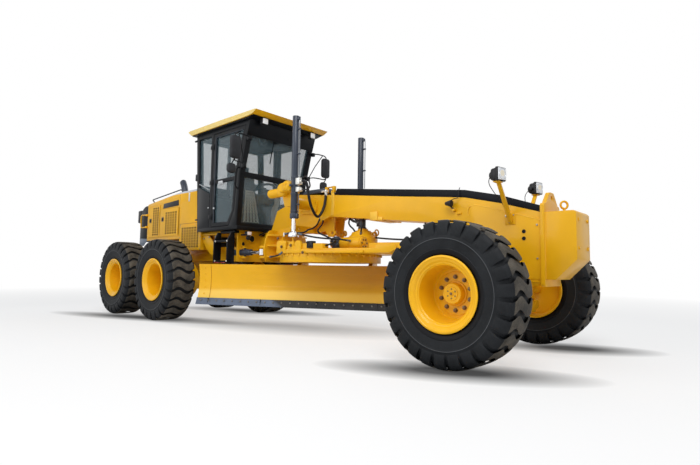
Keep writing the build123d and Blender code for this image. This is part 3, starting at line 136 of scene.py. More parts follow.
class Graph:
    """The node tree of a material or of the world while it is built."""

    def __init__(self, owner: Any, output: str = "ShaderNodeOutputMaterial") -> None:
        """Starts an empty tree.

        Args:
            owner: The new material or world.
            output: The type of its output node.
        """
        self.owner = owner
        owner.use_nodes = True
        self.tree = owner.node_tree
        self.tree.nodes.clear()
        self.output = self.tree.nodes.new(output)

    def node(self, kind: str, settings: dict[str, Any] | None = None, values: dict[Any, Any] | None
            = None) -> Any:
        """Adds a node.

        Args:
            kind: The node's type.
            settings: Its own settings, set first; a list under "stops" fills a colour ramp.
            values: Numbers or links for its input sockets, by name or by index.

        Returns:
            The node.
        """
        made = self.tree.nodes.new(kind)
        for key, value in (settings or {}).items():
            if key == "stops":
                self._fill_ramp(made, value)
            else:
                setattr(made, key, value)
        for key, value in (values or {}).items():
            if isinstance(value, Sock):
                self.tree.links.new(value.link, made.inputs[key])
            else:
                made.inputs[key].default_value = value
        return made

    @staticmethod
    def _fill_ramp(made: Any, stops: Sequence[tuple[float, Any]]) -> None:
        """Sets a colour ramp's stops from (place, colour) pairs."""
        ramp = made.color_ramp
        while len(ramp.elements) < len(stops):
            ramp.elements.new(0.5)
        for element, (place, colour) in zip(ramp.elements, stops):
            element.position = place
            element.color = colour if len(colour) == 4 else (*colour, 1.0)

    def value(self, kind: str, output: Any, settings: dict[str, Any] | None = None,
            values: dict[Any, Any] | None = None) -> Sock:
        """Adds a node and gives one of its outputs."""
        return Sock(self, self.node(kind, settings, values).outputs[output])

    def place(self, centre: Point = (0.0, 0.0, 0.0)) -> Sock:
        """The surface's place on the object, from a centre."""
        coordinates = self.value("ShaderNodeTexCoord", "Object")
        return self.value("ShaderNodeMapping", "Vector", None, {"Vector": coordinates,
            "Location": tuple(-c for c in centre)})

    def noise(self, scale: float, detail: float = 3.0, roughness: float = 0.55) -> Sock:
        """Smooth noise from 0 to 1 on the object's place."""
        return self.value("ShaderNodeTexNoise", "Fac", None, {"Vector": self.place(), "Scale": scale,
            "Detail": detail, "Roughness": roughness})

    def axis(self, name: str) -> Sock:
        """One coordinate of the surface's place on the object."""
        return self.value("ShaderNodeSeparateXYZ", name, None, {"Vector": self.place()})

    def ramp(self, factor: Sock, low: float, high: float) -> Sock:
        """A factor spread from 0 at low to 1 at high."""
        return self.value("ShaderNodeMapRange", "Result", {"clamp": True},
            {"Value": factor, "From Min": low, "From Max": high})

    def mix(self, factor: Any, first: Any, second: Any) -> Sock:
        """A colour between two others."""
        node = self.tree.nodes.new("ShaderNodeMix")
        node.data_type = "RGBA"
        for key, value in ((0, factor), (6, first), (7, second)):
            if isinstance(value, Sock):
                self.tree.links.new(value.link, node.inputs[key])
            else:
                node.inputs[key].default_value = value if key == 0 else (*value[:3], 1.0)
        return Sock(self, node.outputs[2])

    def bump(self, height: Sock, distance: float, strength: float = 1.0) -> Sock:
        """A normal from a height."""
        return self.value("ShaderNodeBump", "Normal", None, {"Height": height, "Distance": distance,
            "Strength": strength})

    def principled(self, values: dict[Any, Any]) -> Sock:
        """The main surface shader, with its sockets set."""
        return self.value("ShaderNodeBsdfPrincipled", "BSDF", None, values)

    def finish(self, shader: Sock) -> Any:
        """Joins the shader to the output and gives the material or world."""
        self.tree.links.new(shader.link, self.output.inputs["Surface"])
        return self.owner


# ------------------------------------------------------------------ finishes
@dataclass(frozen=True)
class Finish:
    """A surface finish with its record slot."""

    name: str
    slot: Slot
    colour: tuple[float, float, float]
    roughness: float

    def material(self) -> Any:
        """The finish's material, made once."""
        found = bpy.data.materials.get(self.name)
        if found is None:
            found = self.build(Graph(bpy.data.materials.new(self.name)))
        return found

    def build(self, graph: Graph) -> Any:
        """Builds the node tree.

        Args:
            graph: The tree to fill.

        Returns:
            The material.
        """
        raise NotImplementedError


@dataclass(frozen=True)
class Enamel(Finish):
    """Sprayed machine enamel: slight orange peel, cloudy gloss and a little settled dust."""

    coat: float = 0.35
    shade: float = 0.9
    dust: tuple[float, float, float] = (0.55, 0.42, 0.24)
    dust_share: float = 0.1
    shine: float = 0.22

    def build(self, graph: Graph) -> Any:
        """Builds the enamel."""
        cloud = graph.noise(1.7, 4.0)
        speck = graph.noise(46.0, 5.0, 0.7)
        paint = self.paint(graph, cloud)
        dusty = graph.ramp(speck * cloud, 0.24, 0.46) * self.dust_share
        colour = graph.mix(dusty, paint, self.dust)
        rough = self.roughness + 0.1 * graph.ramp(cloud, 0.3, 0.7) + 0.3 * dusty
        peel = graph.bump(graph.noise(240.0, 2.0), 0.0004, 0.35)
        return graph.finish(graph.principled({"Base Color": colour, "Roughness": rough,
            "Coat Weight": self.coat, "Coat Roughness": 0.12, "Specular IOR Level": self.shine,
            "Normal": peel}))

    def paint(self, graph: Graph, cloud: Sock) -> Sock:
        """The paint's own colour, a little uneven."""
        darker = tuple(c * self.shade for c in self.colour)
        return graph.mix(graph.ramp(cloud, 0.35, 0.65), darker, self.colour)


@dataclass(frozen=True)
class BladeEnamelWithPaintedLight(Enamel):
    """Blade enamel with a pale floor reflection painted along the foot and brown shade painted towards the
    leading top.
    """

    # Painted reflection: the pale colour of the floor's reflection along the foot.
    worn: tuple[float, float, float] = (0.93, 0.6, 0.1)
    # Painted shade: the brown of the leading top in shade.
    brown: tuple[float, float, float] = (0.5, 0.2, 0.003)

    def paint(self, graph: Graph, cloud: Sock) -> Sock:
        """The paint with the painted floor reflection at its foot and the painted brown shade at its top.
        """
        plain = super().paint(graph, cloud)
        along = graph.axis("X")
        up = graph.axis("Z")
        # foot is the painted reflection's share and top is the painted shade's share.
        foot = (1.0 - graph.ramp(up + cloud * 0.05, 0.555, 0.6)) * (1.0 - graph.ramp(along, 0.9, 2.0)
            * 0.55)
        top = graph.ramp(along, -0.2, 2.0) * graph.ramp(up, 0.5, 0.72)
        return graph.mix(foot * 0.85, graph.mix(top, plain, self.brown), self.worn)


@dataclass(frozen=True)
class Rubber(Finish):
    """Tyre rubber, with scuffs and pale dust in the grain."""

    dust: tuple[float, float, float] = (0.16, 0.145, 0.12)
    dust_share: float = 0.35

    def build(self, graph: Graph) -> Any:
        """Builds the rubber."""
        cloud = graph.noise(5.0, 5.0, 0.65)
        grain = graph.noise(130.0, 4.0, 0.6)
        dusty = graph.ramp(cloud + grain * 0.4, 0.55, 0.95) * self.dust_share
        colour = graph.mix(dusty, self.colour, self.dust)
        rough = self.roughness + 0.15 * graph.ramp(cloud, 0.3, 0.7)
        return graph.finish(graph.principled({"Base Color": colour, "Roughness": rough,
            "Specular IOR Level": 0.16, "Normal": graph.bump(grain + cloud, 0.0012, 0.5)}))


@dataclass(frozen=True)
class Metal(Finish):
    """Bare or plated metal with fine drawn grain."""

    metallic: float = 1.0
    grain: float = 300.0
    grain_depth: float = 0.0002
    stain: tuple[float, float, float] = (0.25, 0.16, 0.09)
    stain_share: float = 0.0

    def build(self, graph: Graph) -> Any:
        """Builds the metal."""
        cloud = graph.noise(8.0, 5.0, 0.6)
        fine = graph.noise(self.grain, 2.0)
        stained = graph.ramp(cloud, 0.45, 0.7) * self.stain_share
        colour = graph.mix(stained, self.base(graph), self.stain)
        rough = self.roughness + 0.12 * cloud + 0.3 * stained
        return graph.finish(graph.principled({"Base Color": colour, "Roughness": rough,
            "Metallic": self.metallic - 0.6 * stained, "Normal": graph.bump(fine, self.grain_depth, 0.4)}))

    def base(self, graph: Graph) -> Any:
        """The clean metal's colour."""
        return self.colour


@dataclass(frozen=True)
class EdgeSteel(Metal):
    """Edge steel: scoured blue-grey at the trailing end and black paint beyond."""

    black: tuple[float, float, float] = (0.006, 0.006, 0.007)

    def base(self, graph: Graph) -> Any:
        """The colour, black from the middle onward."""
        slope = graph.axis("X") + graph.axis("Z") * 1.6
        return graph.mix(graph.ramp(slope, 0.9, 0.98), self.colour, self.black)


@dataclass(frozen=True)
class Moulding(Finish):
    """Moulded plastic or hose with a fine leathery grain."""

    grain: float = 420.0

    def build(self, graph: Graph) -> Any:
        """Builds the plastic."""
        cloud = graph.noise(6.0, 3.0)
        fine = graph.noise(self.grain, 2.0)
        lighter = tuple(min(1.0, c * 1.4 + 0.002) for c in self.colour)
        colour = graph.mix(graph.ramp(cloud, 0.4, 0.75), self.colour, lighter)
        return graph.finish(graph.principled({"Base Color": colour, "Roughness": self.roughness + 0.12
            * cloud, "Specular IOR Level": 0.22, "Normal": graph.bump(fine, 0.0004, 0.5)}))


@dataclass(frozen=True)
class Glazing(Finish):
    """Thin tinted glass with faint smears."""

    alpha: float = 0.28

    def build(self, graph: Graph) -> Any:
        """Builds the glass."""
        smear = graph.noise(3.5, 4.0, 0.6)
        return graph.finish(graph.principled({"Base Color": (*self.colour, 1.0),
            "Roughness": self.roughness + 0.05 * smear, "Alpha": self.alpha + 0.05 * smear,
            "Specular IOR Level": 0.7, "Coat Weight": 0.6, "Coat Roughness": 0.03}))


@dataclass(frozen=True)
class LampGlass(Finish):
    """A lamp lens or a marker lens with ribs."""

    ribs: float = 60.0

    def build(self, graph: Graph) -> Any:
        """Builds the lens."""
        wave = graph.value("ShaderNodeTexWave", "Fac", {"bands_direction": "Z"}, {"Vector": graph.place(),
            "Scale": self.ribs})
        colour = graph.mix(wave * 0.4, self.colour, tuple(c * 0.75 for c in self.colour))
        return graph.finish(graph.principled({"Base Color": colour, "Roughness": self.roughness,
            "Coat Weight": 0.8, "Coat Roughness": 0.04, "Normal": graph.bump(wave, 0.001, 0.5)}))


YELLOW = Enamel("yellow enamel", Slot.YELLOW, (0.84, 0.435, 0.006), 0.34, 0.14, 0.88, (0.6, 0.4, 0.1),
    0.06)
# Painted highlight: a lighter copy of the yellow for edges, bands and borders.
YELLOW_HIGHLIGHT = Enamel("pale yellow enamel", Slot.YELLOW, (0.92, 0.54, 0.05), 0.38, 0.12)
# Painted highlight: a paler copy of the yellow for the roof's edges and caps.
ROOF_EDGE_HIGHLIGHT = Enamel("pale roof edge", Slot.YELLOW, (0.8, 0.6, 0.2), 0.4, 0.1)
YELLOW_RIM = Enamel("yellow rim enamel", Slot.YELLOW, (0.9, 0.47, 0.006), 0.3, 0.2, 0.88, (0.6, 0.4, 0.1),
    0.05)
# Painted shade: darker copies of the yellow for the shade in seams and grooves.
YELLOW_SEAM_SHADE = Enamel("seam yellow", Slot.YELLOW, (0.55, 0.27, 0.006), 0.4)
YELLOW_GROOVE_SHADE = Enamel("deep yellow seams", Slot.YELLOW, (0.3, 0.14, 0.004), 0.4)
# The moldboard's enamel, with a painted floor reflection and painted shade.
BLADE_WITH_PAINTED_LIGHT = BladeEnamelWithPaintedLight("blade enamel", Slot.YELLOW, (0.84, 0.435, 0.006), 0.36, 0.14, 0.92, (0.6, 0.4, 0.1),
    0.05)
BLACK = Enamel("black enamel", Slot.BLACK, (0.0045, 0.0055, 0.0075), 0.34, 0.04, 0.8, (0.1, 0.1, 0.1),
    0.03, 0.14)
BLACK_COVER = Enamel("black cover", Slot.BLACK, (0.004, 0.005, 0.008), 0.5, 0.03, 0.8, (0.1, 0.1, 0.1),
    0.03, 0.12)
SLATE = Enamel("slate enamel", Slot.SLATE, (0.034, 0.044, 0.066), 0.3, 0.3, 0.85, (0.25, 0.25, 0.26), 0.06)
BLACK_SHEEN = Enamel("glossy black panel", Slot.BLACK, (0.006, 0.007, 0.009), 0.3, 0.12, 0.85,
    (0.1, 0.1, 0.1), 0.02)
# Painted reflection: the yellow hood's top painted pale grey where it reflects the sky.
HOOD_TOP_REFLECTION = Enamel("pale top cover", Slot.YELLOW, (0.58, 0.6, 0.64), 0.35)
SLATE_PALE = Enamel("pale slate enamel", Slot.SLATE, (0.13, 0.165, 0.22), 0.4)
SIDEWALL = Rubber("tyre sidewall", Slot.RUBBER, (0.0075, 0.0085, 0.01), 0.5, (0.03, 0.033, 0.037), 0.5)
BEAD = Rubber("tyre bead", Slot.RUBBER, (0.003, 0.003, 0.004), 0.45, (0.01, 0.01, 0.012), 0.3)
# Painted highlight: a light grey ring along the sidewall's raised ridge.
TYRE_RIDGE_HIGHLIGHT = Rubber("tyre ridge", Slot.RUBBER, (0.075, 0.08, 0.086), 0.5, (0.1, 0.1, 0.1), 0.3)
TREAD = Rubber("tyre tread", Slot.RUBBER, (0.034, 0.031, 0.027), 0.62, (0.19, 0.165, 0.13), 0.75)
CHROME = Metal("chromed rod", Slot.CHROME, (0.8, 0.8, 0.82), 0.08)
STEEL = Metal("zinc plated steel", Slot.CHROME, (0.42, 0.36, 0.27), 0.34, 1.0, 200.0, 0.0003)
EDGE = EdgeSteel("cutting edge steel", Slot.EDGE, (0.085, 0.11, 0.16), 0.42, 0.35, 90.0, 0.0006,
    (0.05, 0.05, 0.06), 0.3)
IRON = Metal("cast iron", Slot.IRON, (0.05, 0.05, 0.05), 0.6, 0.3, 60.0, 0.001)
BOLT = Metal("brown plated bolts", Slot.CHROME, (0.2, 0.13, 0.07), 0.42, 0.9, 200.0, 0.0003)
CHROME_SOFT = Metal("bright trim", Slot.CHROME, (0.62, 0.64, 0.66), 0.22)
PIPE = Metal("grey pipe", Slot.CHROME, (0.12, 0.135, 0.16), 0.35, 0.4)
ZINC = Metal("zinc fittings", Slot.CHROME, (0.78, 0.77, 0.72), 0.32, 0.55, 120.0, 0.0004,
    (0.45, 0.36, 0.24), 0.25)
MIRROR = Metal("mirror glass", Slot.GLASS, (0.8, 0.83, 0.86), 0.04)
EDGE_BOLT = Metal("worn bolt heads", Slot.EDGE, (0.16, 0.15, 0.14), 0.4, 0.8)
HOSE = Moulding("black hose", Slot.PLASTIC, (0.011, 0.011, 0.013), 0.42)
PLASTIC = Moulding("dark plastic", Slot.PLASTIC, (0.02, 0.021, 0.024), 0.5)
# Painted shade in hollows: holes, bores, ports and the linings behind grilles; also the cutting edge's
# dark joints.
DARK_SHADE_AND_JOINTS = Moulding("dark hollow", Slot.BLACK, (0.004, 0.004, 0.005), 0.7)
LAMP_BODY = Moulding("lamp body", Slot.LAMP, (0.016, 0.016, 0.018), 0.35)
SLATE_EDGE = Moulding("slate moulding", Slot.SLATE, (0.045, 0.055, 0.07), 0.4)
FABRIC = Moulding("seat fabric", Slot.PLASTIC, (0.055, 0.057, 0.06), 0.85)
BEIGE = Moulding("beige slats", Slot.PLASTIC, (0.8, 0.72, 0.56), 0.55)
RAIL = Moulding("dark rail", Slot.SLATE, (0.02, 0.022, 0.028), 0.35)
GLASS = Glazing("cab glass", Slot.GLASS, (0.12, 0.19, 0.22), 0.02, 0.24)
LENS = LampGlass("lamp lens", Slot.LAMP, (0.85, 0.87, 0.9), 0.08)
LENS_WARM = LampGlass("lamp bulb", Slot.LAMP, (0.95, 0.86, 0.66), 0.15, 25.0)
LENS_WHITE = LampGlass("white work lens", Slot.LAMP, (0.93, 0.94, 0.95), 0.2, 30.0)
LENS_PINK = LampGlass("pale work lens", Slot.LAMP, (0.86, 0.76, 0.74), 0.15)
RED = LampGlass("red lens", Slot.LAMP, (0.35, 0.012, 0.012), 0.2)


# ------------------------------------------------------------------ the workbench
class Bench:
    """Makes and shapes meshes with the editor's own tools."""

    @staticmethod
    def deselect() -> None:
        """Leaves object mode with nothing selected."""
        if bpy.context.object is not None and bpy.context.object.mode != "OBJECT":
            bpy.ops.object.mode_set(mode="OBJECT")
        bpy.ops.object.select_all(action="DESELECT")

    @classmethod
    def pick(cls, *pieces: Any) -> Any:
        """Selects pieces alone and makes the first one active."""
        cls.deselect()
        for piece in pieces:
            piece.select_set(True)
        bpy.context.view_layer.objects.active = pieces[0]
        return pieces[0]

    @classmethod
    def settle(cls, piece: Any) -> Any:
        """Applies a piece's place, turn and scale to its mesh."""
        cls.pick(piece)
        bpy.ops.object.transform_apply(location=True, rotation=True, scale=True)
        return piece

    @classmethod
    def modify(cls, piece: Any, kind: str, **settings: Any) -> Any:
        """Adds a modifier and applies it.

        Args:
            piece: The piece to change.
            kind: The modifier's type.
            settings: The modifier's settings.

        Returns:
            The piece.
        """
        cls.pick(piece)
        made = piece.modifiers.new(kind.lower(), kind)
        for key, value in settings.items():
            setattr(made, key, value)
        bpy.ops.object.modifier_apply(modifier=made.name)
        return piece

    @classmethod
    def edited(cls, piece: Any, *steps: Callable[[], Any]) -> Any:
        """Runs mesh tools one after another on all of a piece."""
        cls.pick(piece)
        bpy.ops.object.mode_set(mode="EDIT")
        for step in steps:
            bpy.ops.mesh.select_all(action="SELECT")
            step()
        bpy.ops.object.mode_set(mode="OBJECT")
        return piece

    @staticmethod
    def outward() -> None:
        """Turns the selected faces outward."""
        bpy.ops.mesh.normals_make_consistent(inside=False)

    @classmethod
    def bevelled(cls, piece: Any, width: float, segments: int = 2, angle: float = 35.0) -> Any:
        """Rounds a piece's sharp edges."""
        if width <= 0:
            return piece
        return cls.modify(piece, "BEVEL", width=width, segments=segments, limit_method="ANGLE",
            angle_limit=math.radians(angle), harden_normals=False)

    @classmethod
    def box(cls, low: Sequence[float], high: Sequence[float], bevel: float = 0.004) -> Any:
        """A box between two corners, with rounded edges."""
        cls.deselect()
        centre = [(a + b) / 2 for a, b in zip(low, high)]
        size = [abs(b - a) for a, b in zip(low, high)]
        bpy.ops.mesh.primitive_cube_add(size=1, location=centre, scale=size)
        return cls.bevelled(cls.settle(bpy.context.object), bevel)

    @classmethod
    def rod(cls, start: Sequence[float], end: Sequence[float], radius: float, sides: int = 24,
            bevel: float = 0.0, end_radius: float | None = None) -> Any:
        """A round rod or a cone between two points."""
        cls.deselect()
        a, b = Vector(start), Vector(end)
        turn = (b - a).to_track_quat("Z", "Y").to_euler()
        bpy.ops.mesh.primitive_cone_add(vertices=sides, radius1=radius, radius2=radius
            if end_radius is None else end_radius, depth=(b - a).length, location=(a + b) / 2,
            rotation=turn)
        return cls.bevelled(cls.settle(bpy.context.object), bevel, 2, 50.0)

    @classmethod
    def ball(cls, centre: Sequence[float], radius: float, sides: int = 24) -> Any:
        """A ball."""
        cls.deselect()
        bpy.ops.mesh.primitive_uv_sphere_add(segments=sides, ring_count=sides // 2, radius=radius,
            location=centre)
        return cls.settle(bpy.context.object)

    @classmethod
    def outline(cls, points: Sequence[Sequence[float]], filled: bool = True) -> Any:
        """A flat face, or its edge alone, through points in space."""
        cls.deselect()
        bpy.ops.mesh.primitive_circle_add(vertices=len(points), fill_type="NGON" if filled else "NOTHING")
        piece = bpy.context.object
        for vertex, point in zip(piece.data.vertices, points):
            vertex.co = point
        return piece

    @classmethod
    def plate(cls, points: Sequence[Sequence[float]], way: Sequence[float], bevel: float = 0.003) -> Any:
        """A plate: an outline in space, given thickness along a way."""
        def raised() -> None:
            bpy.ops.mesh.extrude_region_move(TRANSFORM_OT_translate={"value": way})

        return cls.bevelled(cls.edited(cls.outline(points), raised, cls.outward), bevel)

    @classmethod
    def turned(cls, profile: Outline, centre: Sequence[float], axis: str = "Y", steps: int = 48) -> Any:
        """A closed profile of (along, radius) points, spun about an axis through a centre."""
        along = {"X": (1, 0, 0), "Y": (0, 1, 0), "Z": (0, 0, 1)}[axis]
        out = {"X": (0, 0, 1), "Y": (1, 0, 0), "Z": (1, 0, 0)}[axis]
        points = [Vector(centre) + Vector(along) * a + Vector(out) * r for a, r in profile]

        def spun() -> None:
            bpy.ops.mesh.spin(steps=steps, angle=math.tau, center=centre, axis=along)

        def welded() -> None:
            bpy.ops.mesh.remove_doubles(threshold=0.00005)

        return cls.edited(cls.outline(points, filled=False), spun, welded, cls.outward)

    @classmethod
    def ring(cls, centre: Sequence[float], radius: float, wire: float, axis: str = "X",
            steps: int = 32) -> Any:
        """A round wire bent to a ring about an axis."""
        angles = [math.tau * step / 12 for step in range(12)]
        profile = [(wire * math.cos(a), radius + wire * math.sin(a)) for a in angles]
        return cls.turned(profile, centre, axis, steps)

    @staticmethod
    def turns(count: int, axis: str = "Y") -> list[Matrix]:
        """Even turns about an axis through the origin."""
        return [Matrix.Rotation(math.tau / count * step, 4, axis) for step in range(count)]

    @classmethod
    def tube(cls, points: Sequence[Sequence[float]], radius: float, smooth: bool = True,
            sides: int = 6) -> Any:
        """A bent tube through points; its bends are smooth unless it is made of straight runs."""
        cls.deselect()
        bpy.ops.curve.primitive_nurbs_path_add()
        piece = bpy.context.object
        curve = piece.data
        curve.splines.clear()
        spline = curve.splines.new("NURBS" if smooth else "POLY")
        spline.points.add(len(points) - 1)
        for control, point in zip(spline.points, points):
            control.co = (*point, 1.0)
        if smooth:
            spline.order_u = 3
            spline.use_endpoint_u = True
            spline.resolution_u = 6
        curve.dimensions = "3D"
        curve.bevel_depth = radius
        curve.bevel_resolution = sides // 2
        curve.use_fill_caps = True
        cls.pick(piece)
        bpy.ops.object.convert(target="MESH")
        return cls.settle(bpy.context.object)

    @classmethod
    def copied(cls, piece: Any, places: Iterable[Matrix], keep: bool = False) -> Any:
        """One piece from copies of another, each moved by a matrix."""
        made = []
        for place in places:
            twin = piece.copy()
            twin.data = piece.data.copy()
            twin.data.transform(place)
            bpy.context.scene.collection.objects.link(twin)
            made.append(twin)
        if not keep:
            bpy.data.objects.remove(piece)
        return cls.joined(made)

    @classmethod
    def joined(cls, pieces: Sequence[Any]) -> Any:
        """Several pieces made into one."""
        pieces = list(pieces)
        if len(pieces) == 1:
            return pieces[0]
        cls.pick(*pieces)
        bpy.ops.object.join()
        return bpy.context.object

    @classmethod
    def mirrored(cls, piece: Any) -> Any:
        """A piece and its mirror image across the machine's centre plane, as one piece."""
        twin = cls.other_side(piece)
        return cls.joined([piece, twin])

    @classmethod
    def other_side(cls, piece: Any) -> Any:
        """The mirror image of a piece across the machine's centre plane."""
        twin = piece.copy()
        twin.data = piece.data.copy()
        bpy.context.scene.collection.objects.link(twin)
        twin.data.transform(Matrix.Scale(-1, 4, (0, 1, 0)))
        twin.data.flip_normals()
        return twin

    @classmethod
    def cut(cls, piece: Any, tool: Any) -> Any:
        """Cuts a tool's shape out of a piece and drops the tool."""
        cls.modify(piece, "BOOLEAN", object=tool, operation="DIFFERENCE", solver="EXACT")
        bpy.data.objects.remove(tool)
        return piece

    @classmethod
    def node_copy(cls, node: str, bevel: float, angle: float = 35.0) -> Any:
        """A copy of a frame node with its doubles merged and its edges rounded.

        Args:
            node: The node's name.
            bevel: The width of the rounding, or 0 for none.
            angle: The sharpest turn that is left as it is.

        Returns:
            The copy.
        """
        source = frame["nodes"][node]
        piece = bpy.data.objects.new(f"{node}_skin", source.data.copy())
        bpy.context.scene.collection.objects.link(piece)
        if piece.data.has_custom_normals:
            cls.pick(piece)
            bpy.ops.mesh.customdata_custom_splitnormals_clear()

        def cleaned() -> None:
            bpy.ops.mesh.remove_doubles(threshold=0.00002)
            bpy.ops.mesh.dissolve_limited(angle_limit=math.radians(1.0))

        cls.edited(piece, cleaned)
        piece.data.materials.clear()
        return cls.bevelled(piece, bevel, 2, angle)


box, rod, tube, turned = Bench.box, Bench.rod, Bench.tube, Bench.turned
joined, mirrored = Bench.joined, Bench.mirrored


class Dresser:
    """Names, finishes and seats the finished pieces."""

    def __init__(self) -> None:
        """Starts with nothing dressed."""
        self.count = 0

    def dress(self, piece: Any, name: str, body: str, finish: Finish, smooth: float = 35.0,
            replaces: Sequence[str] = ()) -> Any:
        """Gives a piece its name, finish and body.

        Args:
            piece: The finished mesh, at its place.
            name: The piece's name.
            body: The body that it rides on.
            finish: Its finish.
            smooth: The angle up to which its edges are shaded smooth.
            replaces: Frame nodes that it stands for.

        Returns:
            The piece.
        """
        Bench.settle(piece)
        bpy.ops.object.shade_smooth_by_angle(angle=math.radians(smooth))
        piece.name = name
        piece.data.name = name
        piece.data.materials.clear()
        piece.data.materials.append(finish.material())
        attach(piece, body)
        if replaces:
            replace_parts(piece, *replaces)
        self.count += 1
        log.info("%s rides on %s, %d faces", name, body, len(piece.data.polygons))
        return piece

    @staticmethod
    def second(piece: Any, finish: Finish, where: Callable[[Vector], bool]) -> None:
        """Gives a second finish to the faces whose middle passes a test."""
        piece.data.materials.append(finish.material())
        for face in piece.data.polygons:
            if where(face.center):
                face.material_index = len(piece.data.materials) - 1


def replaced_nodes(piece: Any) -> list[str]:
    """The frame nodes that a piece stands for."""
    return list(piece.get("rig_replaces", []))


def body_of_node(node: str) -> str:
    """The body that a frame node rides on."""
    return frame["nodes"][node]["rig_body"]


# ------------------------------------------------------------------ the studio
@dataclass
class Studio:
    """The camera, the lights and the pale floor with soft shadows painted on it."""

    eye: Point = (5.7375, -4.984, 0.881)
    right: Point = (0.7489, 0.66254, 0.0141)
    up: Point = (0.04176, -0.06843, 0.99678)
    lens: float = 24.2
    floor_radius: float = 60.0
    dim: float = 0.42
    # Painted shadows: the middle, half sizes, turn and depth of ellipses that darken the floor under the
    # wheels and the machine.
    painted_shadows: tuple[Any, ...] = (((3.62, -1.22), (1.3, 0.46), 0.46, 0.88), ((3.95, 0.92), (1.05, 0.48),
        0.46, 0.88), ((-2.55, -1.17), (2.25, 0.5), 0.34, 0.88), ((-2.3, 1.1), (2.1, 0.6), 0.3, 0.84),
        ((0.1, -0.25), (2.6, 0.85), 0.3, 0.4))

    def build(self) -> None:
        """Builds the studio."""
        bpy.context.scene.view_settings.view_transform = "Standard"
        self.camera()
        self.floor()
        self.world()
        self.lamps()

    def camera(self) -> None:
        """Sets up the camera."""
        data = bpy.data.cameras.new("camera")
        data.lens = self.lens
        data.sensor_width = 36.0
        data.clip_end = 300.0
        camera = bpy.data.objects.new("camera", data)
        right, up = Vector(self.right), Vector(self.up)
        back = right.cross(up)
        turn = Matrix((right, up, back)).transposed().to_4x4()
        camera.matrix_world = Matrix.Translation(self.eye) @ turn
        bpy.context.scene.collection.objects.link(camera)
        bpy.context.scene.camera = camera

    def floor(self) -> None:
        """Lays the floor, which fades to white far from the machine, with soft shadows painted under the
        wheels and the machine.
        """
        Bench.deselect()
        bpy.ops.mesh.primitive_circle_add(vertices=96, radius=self.floor_radius, fill_type="NGON",
            location=(0, 0, 0))
        floor = bpy.context.object
        floor.name = "floor"
        graph = Graph(bpy.data.materials.new("pale floor"))
        far = graph.value("ShaderNodeVectorMath", "Value", {"operation": "LENGTH"}, {0: graph.place()})
        fade = graph.ramp(far, 7.0, 16.0)
        seen = graph.value("ShaderNodeLightPath", "Is Camera Ray")
        dark = 1.0
        # Each painted shadow darkens the floor's colour and glow inside its ellipse; dark is the painted
        # shadows' factor.
        for at, half, turn, depth in self.painted_shadows:
            spot = graph.value("ShaderNodeMapping", "Vector", {"vector_type": "TEXTURE"},
                {"Vector": graph.value("ShaderNodeTexCoord", "Object"), "Location": (*at, 0.0),
                "Rotation": (0.0, 0.0, turn), "Scale": (*half, 1.0)})
            near = graph.value("ShaderNodeVectorMath", "Value", {"operation": "LENGTH"}, {0: spot})
            dark = (1.0 - graph.ramp(1.0 - near, 0.0, 0.75).power(0.9) * depth) * dark
        shadowed_glow = graph.mix(dark, (0.0, 0.0, 0.0), (1.0, 1.0, 1.0))
        body = graph.mix(dark, (0.0, 0.0, 0.0), (0.94, 0.94, 0.94))
        shade = graph.value("ShaderNodeBsdfDiffuse", "BSDF", None, {"Color": body})
        glow = graph.value("ShaderNodeEmission", "Emission", None, {"Color": shadowed_glow, "Strength": 1.0})
        share = seen * (0.55 + 0.45 * fade)
        both = graph.value("ShaderNodeMixShader", "Shader", None, {0: share, 1: shade, 2: glow})
        floor.data.materials.append(graph.finish(both))

    def world(self) -> None:
        """Lights the scene softly from all round, with a white background."""
        world = bpy.data.worlds.new("studio")
        bpy.context.scene.world = world
        graph = Graph(world, "ShaderNodeOutputWorld")
        camera, through, mirrored_ray = (graph.value("ShaderNodeLightPath", kind)
            for kind in ("Is Camera Ray", "Is Transmission Ray", "Is Glossy Ray"))
        dim, white = (graph.value("ShaderNodeBackground", "Background", None,
            {"Color": colour, "Strength": strength}) for colour,
            strength in (((0.93, 0.96, 1.0, 1.0), self.dim), ((1, 1, 1, 1), 1.0)))
        seen = camera.larger(through).larger(mirrored_ray)
        graph.finish(graph.value("ShaderNodeMixShader", "Shader", None, {0: seen, 1: dim, 2: white}))

    def lamps(self) -> None:
        """Hangs the soft boxes."""
        places = (("key", (6.0, -6.0, 9.5), 6.0, 700.0), ("side", (-3.0, -12.0, 6.0), 8.0, 420.0),
            ("back", (-2.0, 10.0, 8.0), 8.0, 260.0))
        for name, place, size, power in places:
            data = bpy.data.lights.new(name, "AREA")
            data.shape = "SQUARE"
            data.size = size
            data.energy = power
            lamp = bpy.data.objects.new(name, data)
            lamp.location = place
            aim = Vector((0.5, 0, 1.2)) - Vector(place)
            lamp.rotation_euler = aim.to_track_quat("-Z", "Y").to_euler()
            bpy.context.scene.collection.objects.link(lamp)


